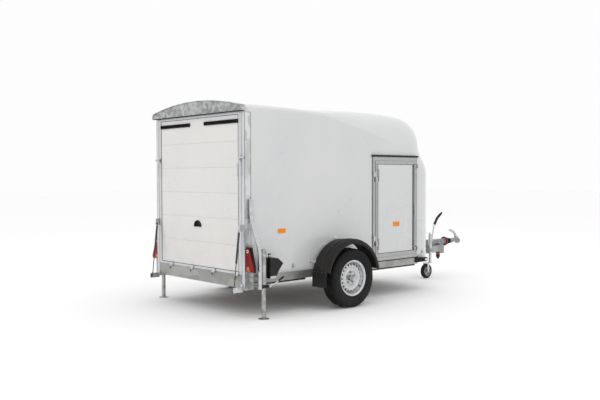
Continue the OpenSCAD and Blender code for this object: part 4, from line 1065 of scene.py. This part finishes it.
def wing_skin():
    """Moulded mudguards: two raised bands, a deep rolled lip and straps to the wall."""
    profile = [(870, 405), (872, 403.5), (875, 405), (876, 410), (900, 411.5), (985, 411.5), (1094, 411),
               (1095, 400),
               (1094.5, 372.5), (1098, 370.5), (1101, 373), (1101, 379), (1104.5, 383), (1104.5, 391),
               (1101, 395),
               (1101, 401), (1099, 409), (1094, 414.5), (1086, 416.6), (1078, 417), (1072, 420),
               (1066, 424),
               (1056, 425), (1046, 424.6), (1038, 421), (1030, 417.4), (1020, 417), (1012, 420),
               (1006, 423.6),
               (996, 424.6), (986, 424), (978, 420), (970, 416.4), (930, 415.6), (880, 415.4),
               (872, 414), (870, 410)]
    bm = bmesh.new()
    rings = []
    for k in range(97):
        b = math.radians(mix(9.8, 167.2, k / 96))
        rings.append([at(x, AXLE_Y + q * math.cos(b), AXLE_Z + q * math.sin(b)) for x, q in profile])
    loft(bm, rings)
    fit("wing_skin", bm, "base", BLACK, ["mudguards"], side="both", sharp=42)
    bm = bmesh.new()
    for middle in (24.5, 91, 152.5):
        strap = [(812.2, 437), (816, 437), (817, 420), (821, 415.6), (880, 415), (880, 411), (818, 411),
                 (812.2, 415)]
        loft(bm, [[at(x, AXLE_Y + q * math.cos(b), AXLE_Z + q * math.sin(b)) for x, q in strap]
                  for b in [math.radians(middle - 2.5 + k) for k in range(6)]])
    fit("wing_straps", bm, "base", POST_ZINC, side="both", rounding=1.0)
    bm = bmesh.new()
    rings = []
    for k in range(13):
        z = mix(430, 250, k / 12)
        y = 866.5 - 3 * math.sin(math.pi * k / 12) - 6 * (k / 12) ** 2
        rings.append([at(877, y - 5, z), at(1090, y - 5, z), at(1090, y, z), at(877, y, z)])
    loft(bm, rings)
    fit("wing_flaps", bm, "base", SEAL_RUBBER, side="both", rounding=1.5)
    bm = bmesh.new()
    for x in (900, 960, 1020, 1070):
        turned(bm, at(x, 862, 410), "y", [(0, -2), (3, -1.6), (5, 0), (5, 3), (0, 3)], 14)
    for b in (24.5, 91, 152.5):
        a = math.radians(b)
        turned(bm, at(816, AXLE_Y + 428 * math.cos(a), AXLE_Z + 428 * math.sin(a)), "x",
               [(0, 4), (4, 3.6), (6, 1.5), (6.5, 0), (0, 0)], 16)
    fit("wing_bolts", bm, "base", ZINC, side="both")


# ---------------------------------------------------------------- side door and side fittings

def ring_band(bm, low_y, high_y, low_z, high_z, width, near, far, corner):
    """A flat picture-frame band in the side's plane, from x near to x far."""
    outer = rounded_outline([(low_y, low_z), (high_y, low_z), (high_y, high_z), (low_y, high_z)], corner, 6)
    w = width
    inner = rounded_outline([(low_y + w, low_z + w), (high_y - w, low_z + w), (high_y - w, high_z - w),
                             (low_y + w, high_z - w)], max(corner - w, 1), 6)
    rings = [[at(x, y, z) for y, z in shape] for x, shape in
             ((near, outer), (far, outer), (far, inner), (near, inner))]
    loft(bm, rings, cap=False, loop=True)


def door_trims():
    """Beads on the door's aluminium profiles, its gaskets and the strip under the frame."""
    bm = bmesh.new()
    ring_band(bm, 1913, 2632, 472, 1602, 3.2, 818, 823.6, 5)
    fit("door_frame_gasket", bm, "base", SEAL_RUBBER)
    bm = bmesh.new()
    ring_band(bm, 1953.5, 2591.5, 512.5, 1561.5, 4.5, 820, 826.2, 7)
    fit("door_panel_gasket", bm, "side_door", SEAL_RUBBER)
    bm = bmesh.new()
    ring_band(bm, 1922, 2623, 481, 1593, 4, 824.5, 826.4, 6)
    ring_band(bm, 1938, 2607, 497, 1577, 4, 824.5, 826.4, 6)
    fit("door_beads", bm, "side_door", ALU_DOOR, sharp=30)
    bm = bmesh.new()
    ring_band(bm, 1873, 2672, 432, 1642, 5, 821, 823.4, 8)
    ring_band(bm, 1888, 2657, 447, 1627, 5, 821, 823.4, 7)
    fit("door_frame_beads", bm, "base", ALU_DOOR, sharp=30)
    bm = bmesh.new()
    ring_band(bm, 1867.5, 2677.5, 426.5, 1647.5, 3, 811.6, 815, 9)
    block(bm, (HALF_W - 1, 1868, 417), (HALF_W + 4.5, 2712, 426.5))
    fit("door_frame_seal", bm, "base", SEAL_RUBBER)
    bm = bmesh.new()
    for low, high in ((562, 692), (1358, 1498)):
        slab(bm, rounded_outline([(1950, low), (1974, low), (1974, high), (1950, high)], 4, 4), "x", 822,
             829)
    fit("door_hinge_plates", bm, "side_door", CAST, rounding=1.5)


def side_reflectors():
    """Amber reflectors: one behind the door on the wall, one on the door, and their twins on the left;
    their finish carries a painted glow.
    """
    def lens(bm, y0, y1, z0, z1, near):
        slab(bm, rounded_outline([(y0, z0), (y1, z0), (y1, z1), (y0, z1)], 7, 5), "x", near, near + 6)
    bm = bmesh.new()
    lens(bm, 434, 536, 836, 879, HALF_W + 0.5)
    fit("wall_reflectors", bm, "base", REFLEX_AMBER, side="both", rounding=1.5, turns=3)
    bm = bmesh.new()
    lens(bm, 2232, 2337, 824, 875, 822.2)
    fit("door_reflector", bm, "side_door", REFLEX_AMBER, rounding=1.5, turns=3)
    bm = bmesh.new()
    lens(bm, 2232, 2337, 824, 875, HALF_W + 0.5)
    fit("far_wall_reflector", bm, "base", REFLEX_AMBER, side="left", rounding=1.5, turns=3)


def tie_hooks():
    """Small plated cleats for the cover, low on the nose's sides."""
    bm = bmesh.new()
    for y in (2790, 640):
        slab(bm, rounded_outline([(y - 17, 462), (y + 17, 462), (y + 17, 506), (y - 17, 506)], 5, 4), "x",
             HALF_W - 1.5 - (0.5 if y > 2700 else 0), HALF_W + 2.5)
        tube(bm, soft_bends([(HALF_W + 1, y, 486), (HALF_W + 15, y, 484), (HALF_W + 15, y, 470)], 7), 4, 12)
        tube(bm, [at(HALF_W + 15, y - 20, 471), at(HALF_W + 15, y, 469), at(HALF_W + 15, y + 20, 471)],
             4, 12)
    fit("tie_hooks", bm, "base", ZINC, side="both", rounding=0.5, turns=1)


def side_conduits():
    """Black cable trunking under the side rails."""
    bm = bmesh.new()
    for y0, y1 in ((70, 820), (1730, 2650)):
        slab(bm, rounded_outline([(HALF_W - 26, 322), (HALF_W - 4, 322), (HALF_W - 4, 340),
                                  (HALF_W - 26, 340)], 5, 4),
             "y", y0, y1)
    fit("rail_conduits", bm, "base", SMOOTH_BLACK, side="both")


def marker_heads():
    """Black marker lamps with clear lenses at the front ends of the rails."""
    bm = bmesh.new()
    slab(bm, rounded_outline([(2656, 357), (2719, 357), (2719, 421), (2656, 421)], 10, 5), "x", HALF_W,
         HALF_W + 20)
    rings = []
    for y, x, half_x, half_z in ((2690, 826, 12, 31), (2700, 828, 15, 32), (2730, 834, 17, 30),
                                 (2765, 845, 18, 27),
                                 (2795, 854, 19, 27), (2818, 858, 19, 26), (2827, 859, 15, 22)):
        rings.append([at(x + half_x * math.copysign(abs(math.cos(a)) ** 0.6, math.cos(a)), y,
                         390 + half_z * math.copysign(abs(math.sin(a)) ** 0.6, math.sin(a)))
                      for a in [math.tau * k / 32 for k in range(32)]])
    loft(bm, rings)
    fit("marker_arms", bm, "base", SEAL_RUBBER, ["marker_lamps"], side="both",
        rounding=2.0)
    bm = bmesh.new()
    slab(bm, rounded_outline([(2772, 376), (2820, 376), (2820, 404), (2772, 404)], 13, 6), "x", 868, 878)
    fit("marker_lenses", bm, "base", LENS_CLEAR, side="both", rounding=2.0, turns=3)


# ---------------------------------------------------------------- hitch

def super_ring(y, half_w, low, high, power=3.0, count=40):
    """A rounded-box section across the drawbar's line."""
    ring = []
    for k in range(count):
        a = math.tau * k / count
        c, s = math.cos(a), math.sin(a)
        x = half_w * math.copysign(abs(c) ** (2 / power), c)
        z = (low + high) / 2 + (high - low) / 2 * math.copysign(abs(s) ** (2 / power), s)
        ring.append(at(x, y, z))
    return ring


def coupling_casting():
    """The cast ball coupling, with its socket open below."""
    bm = bmesh.new()
    sections = [(4440, 34, 436, 504, 2.0), (4443, 36, 434, 506, 2.0), (4468, 36, 434, 506, 2.1),
                (4488, 35, 438, 505, 2.3),
                (4512, 33, 450, 503, 2.6), (4545, 32, 458, 503, 2.8), (4575, 34, 450, 504, 2.6),
                (4597, 39, 434, 505, 2.3)]
    sections += [(4640 + 43 * math.sin(a), max(43 * math.cos(a), 1), 462 - max(43 * math.cos(a), 1),
                  462 + max(43 * math.cos(a), 1), 2.0) for a in [math.radians(d) for d in (-20, -5, 10,
                          25, 40, 55, 70, 84)]]
    loft(bm, [super_ring(*s) for s in sections])
    cut = bmesh.new()
    turned(cut, at(0, 4640, 400), "z", [(0, 0), (25.2, 0), (25.2, 62), (23.5, 72), (18, 80), (9, 85.5),
                                        (0, 87)], 40)
    carve(fit("coupling_casting", bm, "coupler", CAST, ["coupling_head"], sharp=42), cut)
    bm = bmesh.new()
    for y in (4465, 4515):
        turned(bm, at(-44, y, 484), "x", [(0, 0), (7, 0), (8, 1), (8, 6), (6, 7), (6, 82), (8, 82),
                                          (8, 87), (7, 88), (0, 88)], 6)
    turned(bm, at(0, 4590, 500), "z", [(0, 0), (15, 0), (15, 10), (12, 14), (0, 16)], 28)
    fit("coupling_bolts", bm, "coupler", ZINC, rounding=0.8)


def coupling_grip():
    """The coupling's release handle: two cheeks and a ribbed, back-swept bar."""
    bm = bmesh.new()
    for x in (-21, 17):
        shape = [(4588, 509), (4634, 507), (4643, 512), (4643, 521), (4634, 528), (4588, 534)]
        slab(bm, rounded_outline(shape, 5, 4), "x", x, x + 4)
    slab(bm, rounded_outline([(4588, 524), (4634, 524), (4630, 531), (4588, 534)], 3, 3), "x", -20, 20)
    bar = curve_through([at(0, 4604, 526), at(0, 4586, 550), at(0, 4566, 578), at(0, 4530, 602),
                         at(0, 4480, 620),
                         at(0, 4440, 628)], 6)
    last = len(bar) - 1
    radii = [mix(19, 17,
                 k / last) + (1.2 if k % 4 < 2 and 8 < k < last - 2 else 0) for k in range(last + 1)]
    radii[-1], radii[-2] = 6, 10.5
    tube(bm, bar, 12, 24, radii)
    turned(bm, at(-23, 4630, 516), "x", [(0, 0), (9, 0), (10, 1), (10, 4), (6, 5), (6, 41), (10, 42),
                                         (10, 45), (9, 46),
                                        (0, 46)], 28)
    fit("coupling_grip", bm, "coupler_handle", ZINC, ["coupling_handle"], rounding=0.8)


def bellows_sleeve():
    """The rubber bellows between the overrun housing and the coupling, and its red ring."""
    pleats, start, end = 8, 4324.0, 4430.0
    wall = []
    for k in range(pleats * 6 + 1):
        t = k / (pleats * 6)
        wall.append((mix(58, 34, t ** 0.8) + 4.5 * math.cos(math.tau * pleats * t), mix(start, end, t)))
    inner = [(27, end), (27, start)]
    bm = bmesh.new()
    turned(bm, Vector((0, REAR, 0.470)), "y", wall + [(36, 4436), (36, 4440), (27, 4440)] + inner[1:],
           48, closed=True)
    sleeve = fit("bellows_sleeve", bm, "base", SEAL_RUBBER, ["bellows"], sharp=60)
    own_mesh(sleeve)
    bm = bmesh.new()
    turned(bm, Vector((0, REAR, 0.470)), "y", [(27, 4310), (62, 4310), (63, 4311), (63, 4323),
                                               (61, 4324.5), (27, 4324.5)],
           48, closed=True)
    fit("bellows_flange", bm, "base", SEAL_RUBBER)
    bm = bmesh.new()
    turned(bm, Vector((0, REAR, 0.470)), "y", [(62, 4311.5), (66, 4312), (67, 4314), (67, 4320),
                                               (66, 4322), (62, 4322.5)],
           48, closed=True)
    fit("bellows_ring", bm, "base", RED_PAINT, sharp=50)


def brake_lever():
    """The handbrake: a plated lever with a long ribbed black grip."""
    bm = bmesh.new()
    path = soft_bends([(66, 3945, 514), (66, 4000, 723), (66, 4066, 820), (66, 4180, 895)], 34, 8)
    split = min(range(len(path)), key=lambda k: abs(path[k].z - 0.735))
    turned(bm, at(54, 3945, 514), "x", [(9.05, 0), (22, 0), (24, 2), (24, 17.7), (22, 19.7),
                                        (9.05, 19.7)], 40, closed=True)
    tube(bm, [path[0] + (path[1] - path[0]).normalized() * 0.018] + path[1:split + 1], 10, 20)
    fit("brake_lever", bm, "handbrake", ZINC, ["handbrake_lever"], rounding=0.6)
    bm = bmesh.new()
    fine = curve_through(path[split - 1:], 4)
    last = len(fine) - 1
    radii = [17.0 + (0.9 if k % 4 < 2 else 0) for k in range(last + 1)]
    radii[0], radii[1], radii[-1], radii[-2] = 13.0, 17.0, 10, 15.5
    tube(bm, fine, 12.5, 22, radii)
    fit("brake_grip", bm, "handbrake", SMOOTH_BLACK)


def plug_parts():
    """Parked lighting plug under the drawbar arm, with its red collar."""
    x, y, z = 73.0, 4080.0, 296.0
    bm = bmesh.new()
    slab(bm, rounded_outline([(x - 15, y - 40), (x + 15, y - 40), (x + 15, y + 15), (x - 15, y + 15)], 4,
                             3), "z", 326, 340)
    profile = [(0, 38), (21, 38), (25, 34), (29, 30), (29.5, 8), (26, 5), (26, -4), (29.5, -7),
               (29, -30), (25, -34),
               (19, -36), (17, -48), (13, -58), (0, -60)]
    turned(bm, at(x, y, z), "z", profile, 40)
    fit("parked_plug", bm, "base", SMOOTH_BLACK, ["plug_holder"], rounding=0.8)
    bm = bmesh.new()
    turned(bm, at(x, y, z), "z", [(25, 9), (30.6, 9), (31, 10), (31, 24), (30.6, 25), (25, 25)], 40,
           closed=True)
    fit("plug_collar", bm, "base", RED_PAINT)


def jockey_rubber():
    """The jockey wheel's solid tyre, with a shallow centre groove."""
    profile = [(66.2, -24), (78, -26.5), (88, -26.5), (95, -23), (98.6, -17), (100, -10), (100, -3),
               (98, -2), (98, 2),
               (100, 3), (100, 10), (98.6, 17), (95, 23), (88, 26.5), (78, 26.5), (66.2, 24)]
    bm = bmesh.new()
    turned(bm, at(150, 3715, 100), "x", profile, 80, closed=True)
    fit("jockey_rubber", bm, "jockey_roller", TYRE, ["jockey_tyre"], sharp=40)


def chassis_bolts():
    """Bolt heads on the drawbar, the axle pads and the hitch's foot."""
    bm = bmesh.new()

    def head(x, y, z, size=11):
        turned(bm, at(x, y, z), "z", [(0, 0), (size * 1.5, 0), (size * 1.5, 2), (size, 2), (size, 9),
                                      (size - 2, 10), (0, 10)], 6)
    for y in (3920, 4000, 4120):
        head(78, y, 424, 9)
    fit("hitch_bolts", bm, "base", ZINC, side="both", rounding=0.6, turns=1)
    bm = bmesh.new()
    for y in (360, 1000, 1760, 2500):
        turned(bm, at(HALF_W - 0.2, y, 382), "x", [(0, 6), (5, 5.4), (8, 3), (9, 0), (0, 0)], 18)
    fit("rail_bolts", bm, "base", ZINC, side="both")


roof_hood()
post_leaves()
ramp_planks()
ramp_treads()
ramp_gaskets()
ramp_beads()
ramp_vent_grilles()
ramp_grip_bowl()
tail_lamps()
guard_tubes()
chock_ribs()
clamp_grips()
for wheel_side in ("left", "right"):
    tyre_carcass(wheel_side)
    wheel_trims(wheel_side)
wing_skin()
door_trims()
side_reflectors()
tie_hooks()
side_conduits()
marker_heads()
coupling_casting()
coupling_grip()
bellows_sleeve()
brake_lever()
plug_parts()
jockey_rubber()
chassis_bolts()


# ---------------------------------------------------------------- finishes of the frame's own parts

NODE_FINISH = {
    "door_surround": ALU_DOOR, "door_lock_bar": ALU_DOOR, "door_fittings": ALU_DOOR,
               "ramp_frame": ALU_UPRIGHT, "rear_posts": ALU_UPRIGHT, "door_edge": ALU_DOOR,
    "door_gutter": SMOOTH_BLACK, "chassis_frame": RAIL_ZINC, "drawbar": RAIL_ZINC,
               "threshold_beam": RAIL_ZINC, "chock_holder": ZINC, "prop_clamps": SMOOTH_BLACK,
}


def dress_frame():
    """Gives every node of the frame its finish."""
    slots = {part["node"]: part["material_slot"] for part in frame["record"]["subparts"]}
    for name, piece in nodes.items():
        finish = NODE_FINISH.get(name, SLOT_FINISH[slots[name]])
        for slot in piece.material_slots:
            slot.material = finish


dress_frame()


# ---------------------------------------------------------------- studio

def studio():
    """A plain pale floor, even sky light and two large soft lights."""
    floor_mesh = bpy.data.meshes.new("studio_floor")
    floor_mesh.from_pydata([(-60, -60, 0), (60, -60, 0), (60, 60, 0), (-60, 60, 0)], [], [(0, 1, 2, 3)])
    floor = bpy.data.objects.new("studio_floor", floor_mesh)
    bpy.context.scene.collection.objects.link(floor)
    material, tree, shader = new_finish("studio_floor", Roughness=0.9)
    shader.inputs["Base Color"].default_value = (0.985, 0.985, 0.985, 1.0)
    shader.inputs["Specular IOR Level"].default_value = 0.1
    floor_mesh.materials.append(material)
    world = bpy.data.worlds.new("studio")
    world.use_nodes = True
    world.node_tree.nodes["Background"].inputs["Color"].default_value = (1.0, 1.0, 1.0, 1.0)
    world.node_tree.nodes["Background"].inputs["Strength"].default_value = 0.985
    bpy.context.scene.world = world
    for name, place, aim, size, power in (("key", (-1.5, -9.0, 7.5), (0, 0, 1.0), 7.0, 40),
                                          ("top", (1.0, 0.5, 9.0), (0, 0, 1.0), 8.0, 90),
                                          ("side", (8.5, 1.5, 4.0), (0, 0, 0.8), 6.0, 20)):
        data = bpy.data.lights.new(name, "AREA")
        data.size, data.energy = size, power
        light = bpy.data.objects.new(name, data)
        light.location = place
        light.rotation_euler = (Vector(aim) - Vector(place)).to_track_quat("-Z", "Y").to_euler()
        bpy.context.scene.collection.objects.link(light)


def camera():
    data = bpy.data.cameras.new("camera")
    data.sensor_width, data.lens, data.clip_end = 36.0, 44.83, 200.0
    eye = bpy.data.objects.new("camera", data)
    eye.location = (6.646, -6.8405, 1.420)
    eye.rotation_euler = (math.radians(88.182), math.radians(0.124), math.radians(47.743))
    bpy.context.scene.collection.objects.link(eye)
    bpy.context.scene.camera = eye


studio()
camera()
bpy.context.scene.view_settings.view_transform = "Standard"
